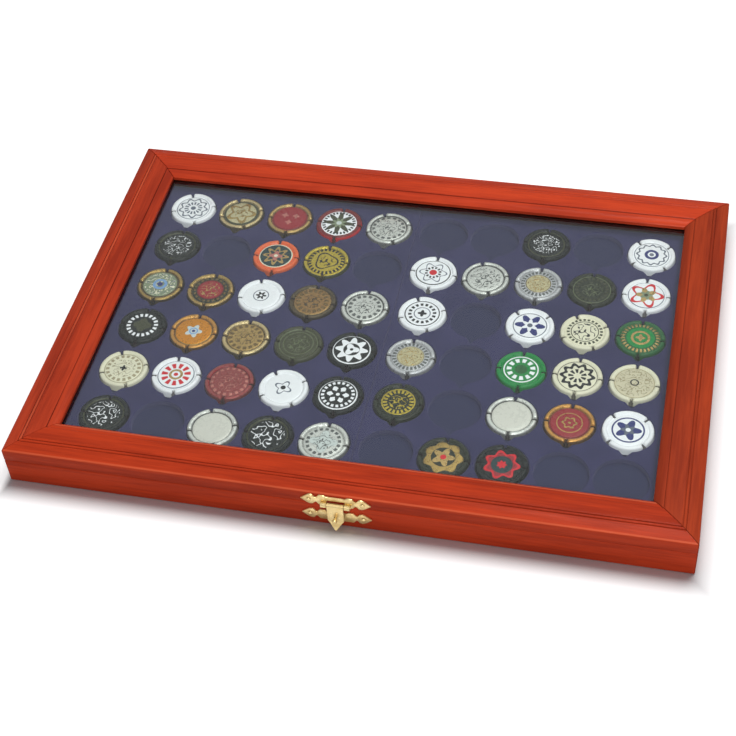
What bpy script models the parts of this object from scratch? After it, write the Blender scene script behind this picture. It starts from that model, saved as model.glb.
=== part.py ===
"""Glass-topped wooden display case for champagne caps, lying closed on a table.

The origin is at the middle of the underside. X runs to the right along the front,
Y runs from the front to the back and Z is up. All lengths are in metres.
"""

import math

import bmesh
import bpy
from mathutils import Matrix

# Gap between neighbouring pieces, and how far a cutter runs past what it cuts
CLEARANCE = 0.0003
OVERRUN = 0.001

# Caps
CAP_FOOT_RADIUS = 0.0158
CAP_FLARE = 0.0005
CAP_BEVEL = 0.0007
CAP_HEIGHT = 0.005
CAP_SHOULDER_DROP = 0.0008
CAP_WALL = 0.0004
CAP_PROUD = 0.0014
CAP_SEGMENTS = 16

# Trays and recesses
ROWS = 6
COLUMNS = 5
RECESS_SLACK = 0.0004
RECESS_SEGMENTS = 16
NOTCH_WIDTH = 0.0078
NOTCH_TIP_WIDTH = 0.0016
NOTCH_LENGTH = 0.0042
COLUMN_WEB = 0.0021
ROW_WEB = 0.0017
INNER_LAND = 0.0026
OUTER_LAND = 0.0052
BACK_LAND = 0.00575
FRONT_LAND = 0.00155
TRAY_BED = 0.0074

# Base box
WALL = 0.0245
PANEL_THICKNESS = 0.0035
PANEL_REBATE = 0.006
TRAY_SET_DOWN = 0.0029
ARRIS = 0.0007

# Lid frame and its glass
LID_RAIL_WIDTH = 0.027
GLASS_REBATE = 0.0054
GLASS_THICKNESS = 0.0017
STRIP_HEIGHT = 0.0023
LIP_THICKNESS = 0.0025
MOULDING_RISE = 0.0035
EDGE_DROP = 0.0018
EDGE_ROUND = 0.0012
EDGE_ROUND_STEPS = 3

# Rear hinges
HINGE_INSET = 0.093
HINGE_LENGTH = 0.032
HINGE_MIDDLE_SHARE = 0.4
LEAF_HEIGHT = 0.0056
LEAF_THICKNESS = 0.0009
BARREL_SET_SHARE = 1 / 3
BARREL_WALL = 0.0008
HINGE_PIN_RADIUS = 0.0008
PIN_END_OVERHANG = 0.0004
BARREL_SEGMENTS = 16
SCREW_INSET = 0.006
SCREW_HEAD_RADIUS = 0.0016
SCREW_HEAD_HEIGHT = 0.0007
SCREW_SHANK_RADIUS = 0.0008
SCREW_LENGTH = 0.007
SCREW_SEGMENTS = 12
DOME_STEPS = 3

# Front latch: plates
PLATE_THICKNESS = 0.0009
WINDOW_HEIGHT = 0.005
BAR_HEIGHT = 0.0029
PLATE_LAND = 0.0009
SPEAR_LENGTH = 0.0111
LID_PLATE_RISE = 0.0003
BASE_PLATE_DROP = 0.0018
BOSS_RADIUS = 0.0014
NAIL_PLACE_SHARE = 0.56
NAIL_HEAD_RADIUS = 0.0013
NAIL_HEAD_HEIGHT = 0.0006
NAIL_SHANK_RADIUS = 0.0006
NAIL_LENGTH = 0.006

# Front latch: knuckles, tongue and knob
LATCH_PIN_RADIUS = 0.00065
KNUCKLE_WALL = 0.00075
KNUCKLE_LENGTH = 0.0034
KNUCKLE_RISE = 0.0002
KNUCKLE_SINK_SHARE = 0.78
TONGUE_WIDTH = 0.0098
TONGUE_THICKNESS = 0.0009
TONGUE_FOOT_RISE = 0.0026
TONGUE_TURN_HEIGHT = 0.0051
TONGUE_TAPER_HEIGHT = 0.0058
TONGUE_TIP_REACH = 0.0024
TONGUE_TIP_WIDTH = 0.0012
KNOB_RISE = 0.0032
KNOB_RADIUS = 0.0015
KNOB_NECK_RADIUS = 0.0007
KNOB_NECK_LENGTH = 0.0008
KNOB_STEPS = 6

# Upper edge of a latch plate's spear from the straight middle to the tip:
# share of the spear's length, share of half the plate's height
SPEAR_SHARES = (
    (0.00, 1.00),
    (0.09, 0.80),
    (0.17, 0.48),
    (0.26, 0.55),
    (0.35, 0.90),
    (0.48, 1.00),
    (0.63, 0.86),
    (0.81, 0.46),
    (1.00, 0.00),
)

# Moulded top of a lid rail from its outer edge to the sight edge:
# share of the rail's width, share of the moulding's rise above the sight edge
MOULDING_SHARES = (
    (0.150, 0.69),
    (0.245, 0.84),
    (0.270, 0.86),
    (0.300, 0.76),
    (0.320, 0.92),
    (0.357, 1.00),
    (0.752, 0.90),
    (0.774, 0.71),
    (0.796, 0.79),
    (0.874, 0.67),
    (0.944, 0.40),
    (1.000, 0.00),
)

# Caps that stand in the right tray, by finish: row from the back, column from the left
CAP_PLACES = {
    "cap_white": ((0, 9), (1, 5), (1, 9), (2, 5), (2, 7), (4, 9)),
    "cap_cream": ((2, 8), (3, 8), (3, 9)),
    "cap_black": ((0, 7), (4, 5), (5, 7)),
    "cap_silver": ((1, 6), (4, 7)),
    "cap_gold": ((5, 6),),
    "cap_two_tone": ((1, 7), (3, 5)),
    "cap_burgundy": ((4, 8),),
    "cap_olive": ((1, 8),),
    "cap_green": ((2, 9), (3, 7)),
}

# Colour, roughness and metallic value of each finish
FINISHES = {
    "cherry_wood": ((0.42, 0.05, 0.018), 0.35, 0.0),
    "plywood": ((0.35, 0.20, 0.09), 0.70, 0.0),
    "dark_strip": ((0.03, 0.012, 0.010), 0.60, 0.0),
    "glass": ((0.85, 0.90, 0.88), 0.05, 0.0),
    "blue_flock": ((0.055, 0.060, 0.115), 0.95, 0.0),
    "brass": ((0.80, 0.62, 0.30), 0.28, 1.0),
    "cap_white": ((0.80, 0.80, 0.82), 0.35, 0.0),
    "cap_cream": ((0.72, 0.69, 0.52), 0.40, 0.0),
    "cap_black": ((0.03, 0.04, 0.035), 0.35, 0.0),
    "cap_silver": ((0.72, 0.73, 0.68), 0.28, 1.0),
    "cap_gold": ((0.70, 0.48, 0.12), 0.30, 1.0),
    "cap_two_tone": ((0.62, 0.58, 0.48), 0.32, 1.0),
    "cap_burgundy": ((0.28, 0.03, 0.04), 0.35, 0.3),
    "cap_olive": ((0.07, 0.075, 0.04), 0.40, 0.5),
    "cap_green": ((0.02, 0.20, 0.06), 0.35, 0.0),
}

# Trays, base and lid worked out from the caps outwards
RECESS_RADIUS = CAP_FOOT_RADIUS + RECESS_SLACK
RECESS_DEPTH = CAP_HEIGHT + CLEARANCE - CAP_PROUD
COLUMN_PITCH = 2 * RECESS_RADIUS + COLUMN_WEB
ROW_PITCH = 2 * RECESS_RADIUS + NOTCH_LENGTH + ROW_WEB
TRAY_HALF_WIDTH = INNER_LAND + COLUMNS * COLUMN_PITCH - COLUMN_WEB + OUTER_LAND
TRAY_HALF_DEPTH = (BACK_LAND + ROWS * ROW_PITCH - ROW_WEB + FRONT_LAND) / 2
TRAY_BOTTOM = PANEL_THICKNESS + CLEARANCE
RECESS_FLOOR = TRAY_BOTTOM + TRAY_BED
TRAY_TOP = RECESS_FLOOR + RECESS_DEPTH
BASE_HEIGHT = TRAY_TOP + TRAY_SET_DOWN
CASE_WIDTH = 2 * (TRAY_HALF_WIDTH + CLEARANCE + WALL)
CASE_DEPTH = 2 * (TRAY_HALF_DEPTH + CLEARANCE + WALL)
FRONT = -CASE_DEPTH / 2
BACK = CASE_DEPTH / 2
STRIP_WIDTH = GLASS_REBATE - 2 * CLEARANCE
LID_BOTTOM = BASE_HEIGHT + CLEARANCE
STRIP_BOTTOM = LID_BOTTOM + CLEARANCE
GLASS_BOTTOM = STRIP_BOTTOM + STRIP_HEIGHT + CLEARANCE
GLASS_SEAT = GLASS_BOTTOM + GLASS_THICKNESS + CLEARANCE
SIGHT_EDGE_Z = GLASS_SEAT + LIP_THICKNESS
LID_TOP = SIGHT_EDGE_Z + MOULDING_RISE

# Rear hinges
BARREL_BORE = HINGE_PIN_RADIUS + CLEARANCE
BARREL_RADIUS = BARREL_BORE + BARREL_WALL
LEAF_NEAR = BACK + CLEARANCE
LEAF_FACE = LEAF_NEAR + LEAF_THICKNESS
HINGE_AXIS_Y = LEAF_NEAR + BARREL_SET_SHARE * LEAF_THICKNESS + BARREL_RADIUS
HINGE_AXIS_Z = BASE_HEIGHT + CLEARANCE / 2

# Front latch
KNUCKLE_BORE = LATCH_PIN_RADIUS + CLEARANCE
KNUCKLE_RADIUS = KNUCKLE_BORE + KNUCKLE_WALL
HALF_WINDOW = TONGUE_WIDTH / 2 + CLEARANCE
PLATE_HEIGHT = WINDOW_HEIGHT + BAR_HEIGHT
PLATE_HALF_MIDDLE = HALF_WINDOW + KNUCKLE_LENGTH + PLATE_LAND
PLATE_NEAR = FRONT - CLEARANCE
PLATE_FACE = PLATE_NEAR - PLATE_THICKNESS
LID_PLATE_BOTTOM = LID_BOTTOM + LID_PLATE_RISE
LID_PLATE_MIDDLE = LID_PLATE_BOTTOM + PLATE_HEIGHT / 2
LATCH_AXIS_Y = PLATE_FACE + KNUCKLE_SINK_SHARE * PLATE_THICKNESS - KNUCKLE_RADIUS
LATCH_AXIS_Z = LID_BOTTOM + KNUCKLE_RADIUS + KNUCKLE_RISE
TONGUE_FRONT = LATCH_AXIS_Y - KNUCKLE_RADIUS
TONGUE_BACK = TONGUE_FRONT + TONGUE_THICKNESS
TONGUE_SHOULDER_Z = TONGUE_FOOT_RISE + TONGUE_TAPER_HEIGHT
KNOB_Z = TONGUE_SHOULDER_Z + KNOB_RISE
BASE_PLATE_MIDDLE = KNOB_Z - BASE_PLATE_DROP

# Turns that lay an outline drawn in X and Y on its side
STAND_ALONG_X = Matrix(((0, 0, 1, 0), (1, 0, 0, 0), (0, 1, 0, 0), (0, 0, 0, 1)))
STAND_ALONG_Y = Matrix(((1, 0, 0, 0), (0, 0, -1, 0), (0, 1, 0, 0), (0, 0, 0, 1)))

# Turn that points a fixing's head at the front
FACE_FRONT = Matrix.Rotation(math.pi / 2, 4, "X")


def clear_scene():
    """Remove every object of the file that the script starts in."""
    for obj in list(bpy.data.objects):
        bpy.data.objects.remove(obj, do_unlink=True)


def new_collection(name):
    """Collection linked to the scene."""
    collection = bpy.data.collections.new(name)
    bpy.context.scene.collection.children.link(collection)
    return collection


def finish(name):
    """Principled material of one finish, made on first use."""
    found = bpy.data.materials.get(name)
    if found:
        return found
    colour, roughness, metallic = FINISHES[name]
    material = bpy.data.materials.new(name)
    material.use_nodes = True
    shader = material.node_tree.nodes["Principled BSDF"]
    shader.inputs["Base Color"].default_value = (*colour, 1.0)
    shader.inputs["Roughness"].default_value = roughness
    shader.inputs["Metallic"].default_value = metallic
    if name == "glass":
        shader.inputs["Transmission Weight"].default_value = 1.0
    return material


def add_part(name, mesh, finish_name, smooth=False):
    """Object of the case with its own copy of a finish."""
    mesh.name = name
    obj = bpy.data.objects.new(name, mesh)
    own = finish(finish_name).copy()
    own.name = name
    mesh.materials.clear()
    mesh.materials.append(own)
    if smooth:
        mesh.shade_smooth()
        mesh.set_sharp_from_angle(angle=math.radians(35))
    PARTS.objects.link(obj)
    return obj


def add_cutter(name, mesh):
    """Hidden object that a Boolean modifier reads."""
    obj = bpy.data.objects.new(name, mesh)
    obj.hide_render = True
    obj.display_type = "WIRE"
    CUTTERS.objects.link(obj)
    return obj


def combine(obj, other, operation):
    """Boolean modifier between a part and a cutter."""
    modifier = obj.modifiers.new(other.name, "BOOLEAN")
    modifier.operation = operation
    modifier.solver = "EXACT"
    modifier.object = other


def evaluated_mesh(obj):
    """Mesh of an object with its modifiers, welded; the object is removed."""
    bpy.context.scene.collection.objects.link(obj)
    depsgraph = bpy.context.evaluated_depsgraph_get()
    mesh = bpy.data.meshes.new_from_object(obj.evaluated_get(depsgraph))
    bpy.data.objects.remove(obj, do_unlink=True)
    work = bmesh.new()
    work.from_mesh(mesh)
    bmesh.ops.remove_doubles(work, verts=work.verts, dist=CLEARANCE / 100)
    work.to_mesh(mesh)
    work.free()
    return mesh


def prism(points, thickness):
    """Flat outline in X and Y, extruded by half its thickness to each side."""
    curve = bpy.data.curves.new("outline", "CURVE")
    curve.dimensions = "2D"
    curve.fill_mode = "BOTH"
    curve.extrude = thickness / 2
    spline = curve.splines.new("POLY")
    spline.points.add(len(points) - 1)
    for point, (x, y) in zip(spline.points, points):
        point.co = (x, y, 0, 1)
    spline.use_cyclic_u = True
    return evaluated_mesh(bpy.data.objects.new("outline", curve))


def turned(profile, segments):
    """Profile of radius and height, from its top down its outer side, turned about Z."""
    mesh = bpy.data.meshes.new("profile")
    points = [(radius, 0, height) for radius, height in profile]
    edges = [(i, i + 1) for i in range(len(points) - 1)]
    mesh.from_pydata(points, edges, [])
    obj = bpy.data.objects.new("profile", mesh)
    screw = obj.modifiers.new("turn", "SCREW")
    screw.steps = segments
    screw.render_steps = segments
    screw.use_merge_vertices = True
    screw.merge_threshold = CLEARANCE / 100
    return evaluated_mesh(obj)


def box(low, high):
    """Rectangular block between two corners."""
    work = bmesh.new()
    bmesh.ops.create_cube(work, size=1)
    size = [b - a for a, b in zip(low, high)]
    middle = [(a + b) / 2 for a, b in zip(low, high)]
    place = Matrix.Translation(middle) @ Matrix.Diagonal((*size, 1))
    bmesh.ops.transform(work, matrix=place, verts=work.verts)
    mesh = bpy.data.meshes.new("box")
    work.to_mesh(mesh)
    work.free()
    return mesh


def rod_along_x(radius, low, high, y, z, segments=BARREL_SEGMENTS):
    """Round rod between two places along X."""
    work = bmesh.new()
    bmesh.ops.create_cone(
        work, cap_ends=True, segments=segments, radius1=radius, radius2=radius, depth=high - low
    )
    place = Matrix.Translation(((low + high) / 2, y, z)) @ Matrix.Rotation(math.pi / 2, 4, "Y")
    bmesh.ops.transform(work, matrix=place, verts=work.verts)
    mesh = bpy.data.meshes.new("rod")
    work.to_mesh(mesh)
    work.free()
    return mesh


def together(meshes):
    """One mesh that holds several separate bodies."""
    work = bmesh.new()
    for mesh in meshes:
        work.from_mesh(mesh)
    joined = bpy.data.meshes.new("group")
    work.to_mesh(joined)
    work.free()
    return joined


def placed(mesh, matrix):
    """Copy of a mesh moved by a matrix."""
    copy = mesh.copy()
    copy.transform(matrix)
    return copy


def fixing(head_radius, head_height, shank_radius, length, segments):
    """Round-headed screw or nail: its head stands on Z = 0 and its shank points down."""
    angles = [step / DOME_STEPS * math.pi / 2 for step in range(DOME_STEPS)]
    dome = [(head_radius * math.sin(angle), head_height * math.cos(angle)) for angle in angles]
    profile = dome + [
        (head_radius, head_height / 4),
        (head_radius, 0),
        (shank_radius, 0),
        (shank_radius, shank_radius - length),
        (0, -length),
    ]
    return turned(profile, segments)


def bore(radius, length, segments):
    """Round hole about Z, from an overrun above Z = 0 down to its length."""
    profile = [(0, OVERRUN), (radius, OVERRUN), (radius, -length), (0, -length)]
    return turned(profile, segments)


def mitred_rail(outline, length):
    """Rail along X from an outline of distance from its outer edge and height.

    The outer edge lies on Y = 0, the rail lies towards +Y and both ends are mitred.
    """
    mesh = prism(outline, length)
    mesh.transform(STAND_ALONG_X)
    setback = CLEARANCE * math.sqrt(0.5)
    for vertex in mesh.vertices:
        end = length / 2 - vertex.co.y - setback
        vertex.co.x = math.copysign(end, vertex.co.x)
    return mesh


def add_rails(prefix, outline, finish_name):
    """Four mitred rails round the case, front and back, left and right."""
    sides = (
        ("front", 0, CASE_WIDTH, CASE_DEPTH),
        ("right", 90, CASE_DEPTH, CASE_WIDTH),
        ("back", 180, CASE_WIDTH, CASE_DEPTH),
        ("left", 270, CASE_DEPTH, CASE_WIDTH),
    )
    rails = {}
    for side, turn, length, across in sides:
        mesh = mitred_rail(outline, length)
        place = Matrix.Rotation(math.radians(turn), 4, "Z") @ Matrix.Translation((0, -across / 2, 0))
        mesh.transform(place)
        rails[side] = add_part(f"{prefix}_{side}", mesh, finish_name)
    return rails


def base_outline():
    """Section of a base rail: bottom rebate for the panel and eased outer edges."""
    return [
        (ARRIS, 0),
        (WALL - PANEL_REBATE, 0),
        (WALL - PANEL_REBATE, TRAY_BOTTOM),
        (WALL, TRAY_BOTTOM),
        (WALL, BASE_HEIGHT),
        (ARRIS, BASE_HEIGHT),
        (0, BASE_HEIGHT - ARRIS),
        (0, ARRIS),
    ]


def lid_outline():
    """Section of a lid rail: glass rebate, moulded top and rounded outer edge."""
    edge_top = LID_TOP - EDGE_DROP
    outline = [
        (ARRIS, LID_BOTTOM),
        (LID_RAIL_WIDTH - GLASS_REBATE, LID_BOTTOM),
        (LID_RAIL_WIDTH - GLASS_REBATE, GLASS_SEAT),
        (LID_RAIL_WIDTH, GLASS_SEAT),
    ]
    for across_share, rise_share in reversed(MOULDING_SHARES):
        outline.append((across_share * LID_RAIL_WIDTH, SIGHT_EDGE_Z + rise_share * MOULDING_RISE))
    for step in range(EDGE_ROUND_STEPS + 1):
        angle = step / EDGE_ROUND_STEPS * math.pi / 2
        across = EDGE_ROUND * (1 - math.sin(angle))
        rise = edge_top - EDGE_ROUND * (1 - math.cos(angle))
        outline.append((across, rise))
    outline.append((0, LID_BOTTOM + ARRIS))
    return outline


def add_panel():
    """Bottom panel in the rebate of the base rails."""
    half_width = CASE_WIDTH / 2 - WALL + PANEL_REBATE - CLEARANCE
    half_depth = CASE_DEPTH / 2 - WALL + PANEL_REBATE - CLEARANCE
    panel = box((-half_width, -half_depth, 0), (half_width, half_depth, PANEL_THICKNESS))
    add_part("base_bottom_panel", panel, "plywood")


def cell_middle(row, column):
    """Middle of a recess, rows counted from the back and columns from the left."""
    steps = column - COLUMNS + 0.5
    inner_gap = INNER_LAND - COLUMN_WEB / 2
    x = steps * COLUMN_PITCH + math.copysign(inner_gap, steps)
    y = TRAY_HALF_DEPTH - BACK_LAND - RECESS_RADIUS - row * ROW_PITCH
    return x, y


def recess_outline():
    """Round recess with a narrowing finger notch towards the front.

    The flats between its corners lie on the recess radius.
    """
    half_notch = math.asin(NOTCH_WIDTH / 2 / RECESS_RADIUS)
    start = -math.pi / 2 + half_notch
    sweep = 2 * (math.pi - half_notch)
    corner_radius = RECESS_RADIUS / math.cos(sweep / RECESS_SEGMENTS / 2)
    outline = []
    for step in range(RECESS_SEGMENTS + 1):
        angle = start + sweep * step / RECESS_SEGMENTS
        outline.append((corner_radius * math.cos(angle), corner_radius * math.sin(angle)))
    tip = -RECESS_RADIUS - NOTCH_LENGTH
    outline += [(-NOTCH_TIP_WIDTH / 2, tip), (NOTCH_TIP_WIDTH / 2, tip)]
    return outline


def add_trays():
    """Left and right tray, each a block with its recesses cut from above."""
    cut = prism(recess_outline(), RECESS_DEPTH + OVERRUN)
    cut_height = RECESS_FLOOR + (RECESS_DEPTH + OVERRUN) / 2
    trays = (
        ("tray_left", -TRAY_HALF_WIDTH, -CLEARANCE / 2, 0),
        ("tray_right", CLEARANCE / 2, TRAY_HALF_WIDTH, COLUMNS),
    )
    for name, low, high, first in trays:
        block = box((low, -TRAY_HALF_DEPTH, TRAY_BOTTOM), (high, TRAY_HALF_DEPTH, TRAY_TOP))
        tray = add_part(name, block, "blue_flock")
        cuts = []
        for row in range(ROWS):
            for column in range(first, first + COLUMNS):
                x, y = cell_middle(row, column)
                cuts.append(placed(cut, Matrix.Translation((x, y, cut_height))))
        combine(tray, add_cutter(f"{name}_recesses", together(cuts)), "DIFFERENCE")


def add_caps():
    """Caps of the right tray, each a thin turned cup standing in its recess."""
    shoulder = CAP_HEIGHT - CAP_SHOULDER_DROP
    shoulder_radius = CAP_FOOT_RADIUS - CAP_FLARE
    profile = [
        (0, CAP_HEIGHT),
        (shoulder_radius - CAP_BEVEL, CAP_HEIGHT),
        (shoulder_radius, shoulder),
        (CAP_FOOT_RADIUS, 0),
        (CAP_FOOT_RADIUS - CAP_WALL, 0),
        (shoulder_radius - CAP_WALL, shoulder - CAP_WALL),
        (0, shoulder - CAP_WALL),
    ]
    cap = turned(profile, CAP_SEGMENTS)
    for finish_name, cells in CAP_PLACES.items():
        for row, column in cells:
            x, y = cell_middle(row, column)
            standing = placed(cap, Matrix.Translation((x, y, RECESS_FLOOR + CLEARANCE)))
            add_part(f"cap_row{row + 1}_column{column + 1}", standing, finish_name, smooth=True)


def add_glass():
    """Pane in the rebate of the lid rails and the four strips that hold it there."""
    half_width = CASE_WIDTH / 2 - LID_RAIL_WIDTH + GLASS_REBATE - CLEARANCE
    half_depth = CASE_DEPTH / 2 - LID_RAIL_WIDTH + GLASS_REBATE - CLEARANCE
    glass_top = GLASS_BOTTOM + GLASS_THICKNESS
    pane = box((-half_width, -half_depth, GLASS_BOTTOM), (half_width, half_depth, glass_top))
    add_part("lid_glass", pane, "glass")
    strip_top = STRIP_BOTTOM + STRIP_HEIGHT
    inner_width = half_width - STRIP_WIDTH
    inner_depth = half_depth - STRIP_WIDTH
    for side, sign in (("front", -1), ("back", 1)):
        near, far = sorted((sign * inner_depth, sign * half_depth))
        strip = box((-half_width, near, STRIP_BOTTOM), (half_width, far, strip_top))
        add_part(f"glass_strip_{side}", strip, "dark_strip")
    for side, sign in (("left", -1), ("right", 1)):
        near, far = sorted((sign * inner_width, sign * half_width))
        half_length = inner_depth - CLEARANCE
        strip = box((near, -half_length, STRIP_BOTTOM), (far, half_length, strip_top))
        add_part(f"glass_strip_{side}", strip, "dark_strip")


def hinge_leaf(name, middle, barrels, face, tip):
    """Leaf plate behind the case with its barrels, bored for the pin.

    The plate runs from face to tip in height. Each barrel is a pair of places along X.
    """
    half = HINGE_LENGTH / 2
    low, high = sorted((face, tip))
    plate = box((middle - half, LEAF_NEAR, low), (middle + half, LEAF_FACE, high))
    leaf = add_part(name, plate, "brass", smooth=True)
    for index, (start, end) in enumerate(barrels):
        neck_low, neck_high = sorted((HINGE_AXIS_Z, face + math.copysign(OVERRUN, tip - face)))
        neck = box((start, LEAF_NEAR, neck_low), (end, LEAF_FACE, neck_high))
        combine(leaf, add_cutter(f"{name}_neck_{index}", neck), "UNION")
        tube = rod_along_x(BARREL_RADIUS, start, end, HINGE_AXIS_Y, HINGE_AXIS_Z)
        combine(leaf, add_cutter(f"{name}_barrel_{index}", tube), "UNION")
    reach = half + OVERRUN
    hole = rod_along_x(BARREL_BORE, middle - reach, middle + reach, HINGE_AXIS_Y, HINGE_AXIS_Z)
    combine(leaf, add_cutter(f"{name}_bore", hole), "DIFFERENCE")
    return leaf


def add_hinge(side, middle, screw, hole, holes):
    """One butt hinge with its pin and screws; its screw holes are added to the lists."""
    face_gap = BARREL_RADIUS + CLEARANCE
    upper = HINGE_AXIS_Z + face_gap
    lower = HINGE_AXIS_Z - face_gap
    half = HINGE_LENGTH / 2
    inner = half * HINGE_MIDDLE_SHARE
    outer_barrels = ((middle - half, middle - inner), (middle + inner, middle + half))
    middle_barrel = ((middle - inner + CLEARANCE, middle + inner - CLEARANCE),)
    base_leaf = hinge_leaf(
        f"hinge_{side}_base_leaf", middle, outer_barrels, lower, lower - LEAF_HEIGHT
    )
    lid_leaf = hinge_leaf(
        f"hinge_{side}_lid_leaf", middle, middle_barrel, upper, upper + LEAF_HEIGHT
    )
    reach = half + PIN_END_OVERHANG
    pin = rod_along_x(HINGE_PIN_RADIUS, middle - reach, middle + reach, HINGE_AXIS_Y, HINGE_AXIS_Z)
    add_part(f"hinge_{side}_pin", pin, "brass", smooth=True)
    outward = Matrix.Rotation(-math.pi / 2, 4, "X")
    offset = half - SCREW_INSET
    for leaf, key, height in (
        (base_leaf, "base", lower - LEAF_HEIGHT / 2),
        (lid_leaf, "lid", upper + LEAF_HEIGHT / 2),
    ):
        own_holes = []
        for number, x in enumerate((middle - offset, middle + offset), 1):
            seat = Matrix.Translation((x, LEAF_FACE + CLEARANCE, height)) @ outward
            name = f"hinge_screw_{side}_{key}_{number}"
            add_part(name, placed(screw, seat), "brass", smooth=True)
            own_holes.append(placed(hole, seat))
        holes[key] += own_holes
        combine(leaf, add_cutter(f"{leaf.name}_holes", together(own_holes)), "DIFFERENCE")


def add_hinges(base_rails, lid_rails):
    """Two butt hinges on the back of the case, with the screw holes in the back rails."""
    screw = fixing(
        SCREW_HEAD_RADIUS, SCREW_HEAD_HEIGHT, SCREW_SHANK_RADIUS, SCREW_LENGTH, SCREW_SEGMENTS
    )
    hole = bore(SCREW_SHANK_RADIUS + CLEARANCE, SCREW_LENGTH + OVERRUN, SCREW_SEGMENTS)
    holes = {"base": [], "lid": []}
    for side, sign in (("left", -1), ("right", 1)):
        add_hinge(side, sign * (CASE_WIDTH / 2 - HINGE_INSET), screw, hole, holes)
    for rails, key in ((base_rails, "base"), (lid_rails, "lid")):
        cutter = add_cutter(f"{key}_hinge_holes", together(holes[key]))
        combine(rails["back"], cutter, "DIFFERENCE")


def plate_outline(middle_z):
    """Latch plate seen from the front: X and height, with a spear at each end."""
    upper = [
        (PLATE_HALF_MIDDLE + x_share * SPEAR_LENGTH, z_share * PLATE_HEIGHT / 2)
        for x_share, z_share in SPEAR_SHARES
    ]
    lower = [(x, -z) for x, z in reversed(upper[:-1])]
    right = upper + lower
    left = [(-x, z) for x, z in reversed(right)]
    return [(x, z + middle_z) for x, z in right + left]


def front_prism(outline, near, far):
    """Outline in X and height, filled between two places along Y."""
    mesh = prism(outline, abs(far - near))
    mesh.transform(Matrix.Translation((0, (near + far) / 2, 0)) @ STAND_ALONG_Y)
    return mesh


def add_lid_plate():
    """Plate on the lid with its bar over the window and a knuckle on each side of it."""
    outline = plate_outline(LID_PLATE_MIDDLE)
    plate = add_part(
        "latch_lid_plate", front_prism(outline, PLATE_NEAR, PLATE_FACE), "brass", smooth=True
    )
    window = box(
        (-HALF_WINDOW, PLATE_FACE - OVERRUN, LID_PLATE_BOTTOM - OVERRUN),
        (HALF_WINDOW, PLATE_NEAR + OVERRUN, LID_PLATE_BOTTOM + WINDOW_HEIGHT),
    )
    combine(plate, add_cutter("latch_window", window), "DIFFERENCE")
    for side, sign in (("left", -1), ("right", 1)):
        start, end = sorted((sign * HALF_WINDOW, sign * (HALF_WINDOW + KNUCKLE_LENGTH)))
        tube = rod_along_x(KNUCKLE_RADIUS, start, end, LATCH_AXIS_Y, LATCH_AXIS_Z)
        combine(plate, add_cutter(f"latch_knuckle_{side}", tube), "UNION")
    reach = HALF_WINDOW + KNUCKLE_LENGTH + OVERRUN
    hole = rod_along_x(KNUCKLE_BORE, -reach, reach, LATCH_AXIS_Y, LATCH_AXIS_Z)
    combine(plate, add_cutter("latch_knuckle_bore", hole), "DIFFERENCE")
    return plate


def add_base_plate():
    """Plate on the base with the boss that the tongue comes down on."""
    outline = plate_outline(BASE_PLATE_MIDDLE)
    plate = add_part(
        "latch_base_plate", front_prism(outline, PLATE_NEAR, PLATE_FACE), "brass", smooth=True
    )
    length = PLATE_FACE - TONGUE_BACK - CLEARANCE
    root = -PLATE_THICKNESS / 2
    boss = turned([(0, length), (BOSS_RADIUS, length), (BOSS_RADIUS, root), (0, root)], SCREW_SEGMENTS)
    boss.transform(Matrix.Translation((0, PLATE_FACE, KNOB_Z)) @ FACE_FRONT)
    combine(plate, add_cutter("latch_boss", boss), "UNION")
    return plate


def tongue_side_outline():
    """Tongue seen from the side: Y and height, a sheet whose foot turns outwards."""
    bend = TONGUE_FOOT_RISE + TONGUE_TURN_HEIGHT
    return [
        (TONGUE_FRONT, LATCH_AXIS_Z),
        (TONGUE_FRONT, bend),
        (TONGUE_FRONT - TONGUE_TIP_REACH, TONGUE_FOOT_RISE),
        (TONGUE_BACK - TONGUE_TIP_REACH, TONGUE_FOOT_RISE),
        (TONGUE_BACK, bend),
        (TONGUE_BACK, LATCH_AXIS_Z),
    ]


def tongue_front_outline():
    """Tongue seen from the front: X and height, square shoulders and a pointed foot."""
    half = TONGUE_WIDTH / 2
    top = LATCH_AXIS_Z + KNUCKLE_RADIUS + OVERRUN
    right = [(half, top), (half, TONGUE_SHOULDER_Z), (TONGUE_TIP_WIDTH / 2, TONGUE_FOOT_RISE)]
    return right + [(-x, z) for x, z in reversed(right)]


def knob_mesh():
    """Ball on a neck: the neck passes through the sheet below Z = 0."""
    middle = KNOB_NECK_LENGTH + KNOB_RADIUS
    neck_angle = math.pi - math.asin(KNOB_NECK_RADIUS / KNOB_RADIUS)
    profile = []
    for step in range(KNOB_STEPS + 1):
        angle = neck_angle * step / KNOB_STEPS
        profile.append((KNOB_RADIUS * math.sin(angle), middle + KNOB_RADIUS * math.cos(angle)))
    profile += [(KNOB_NECK_RADIUS, -TONGUE_THICKNESS), (0, -TONGUE_THICKNESS)]
    return turned(profile, SCREW_SEGMENTS)


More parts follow.
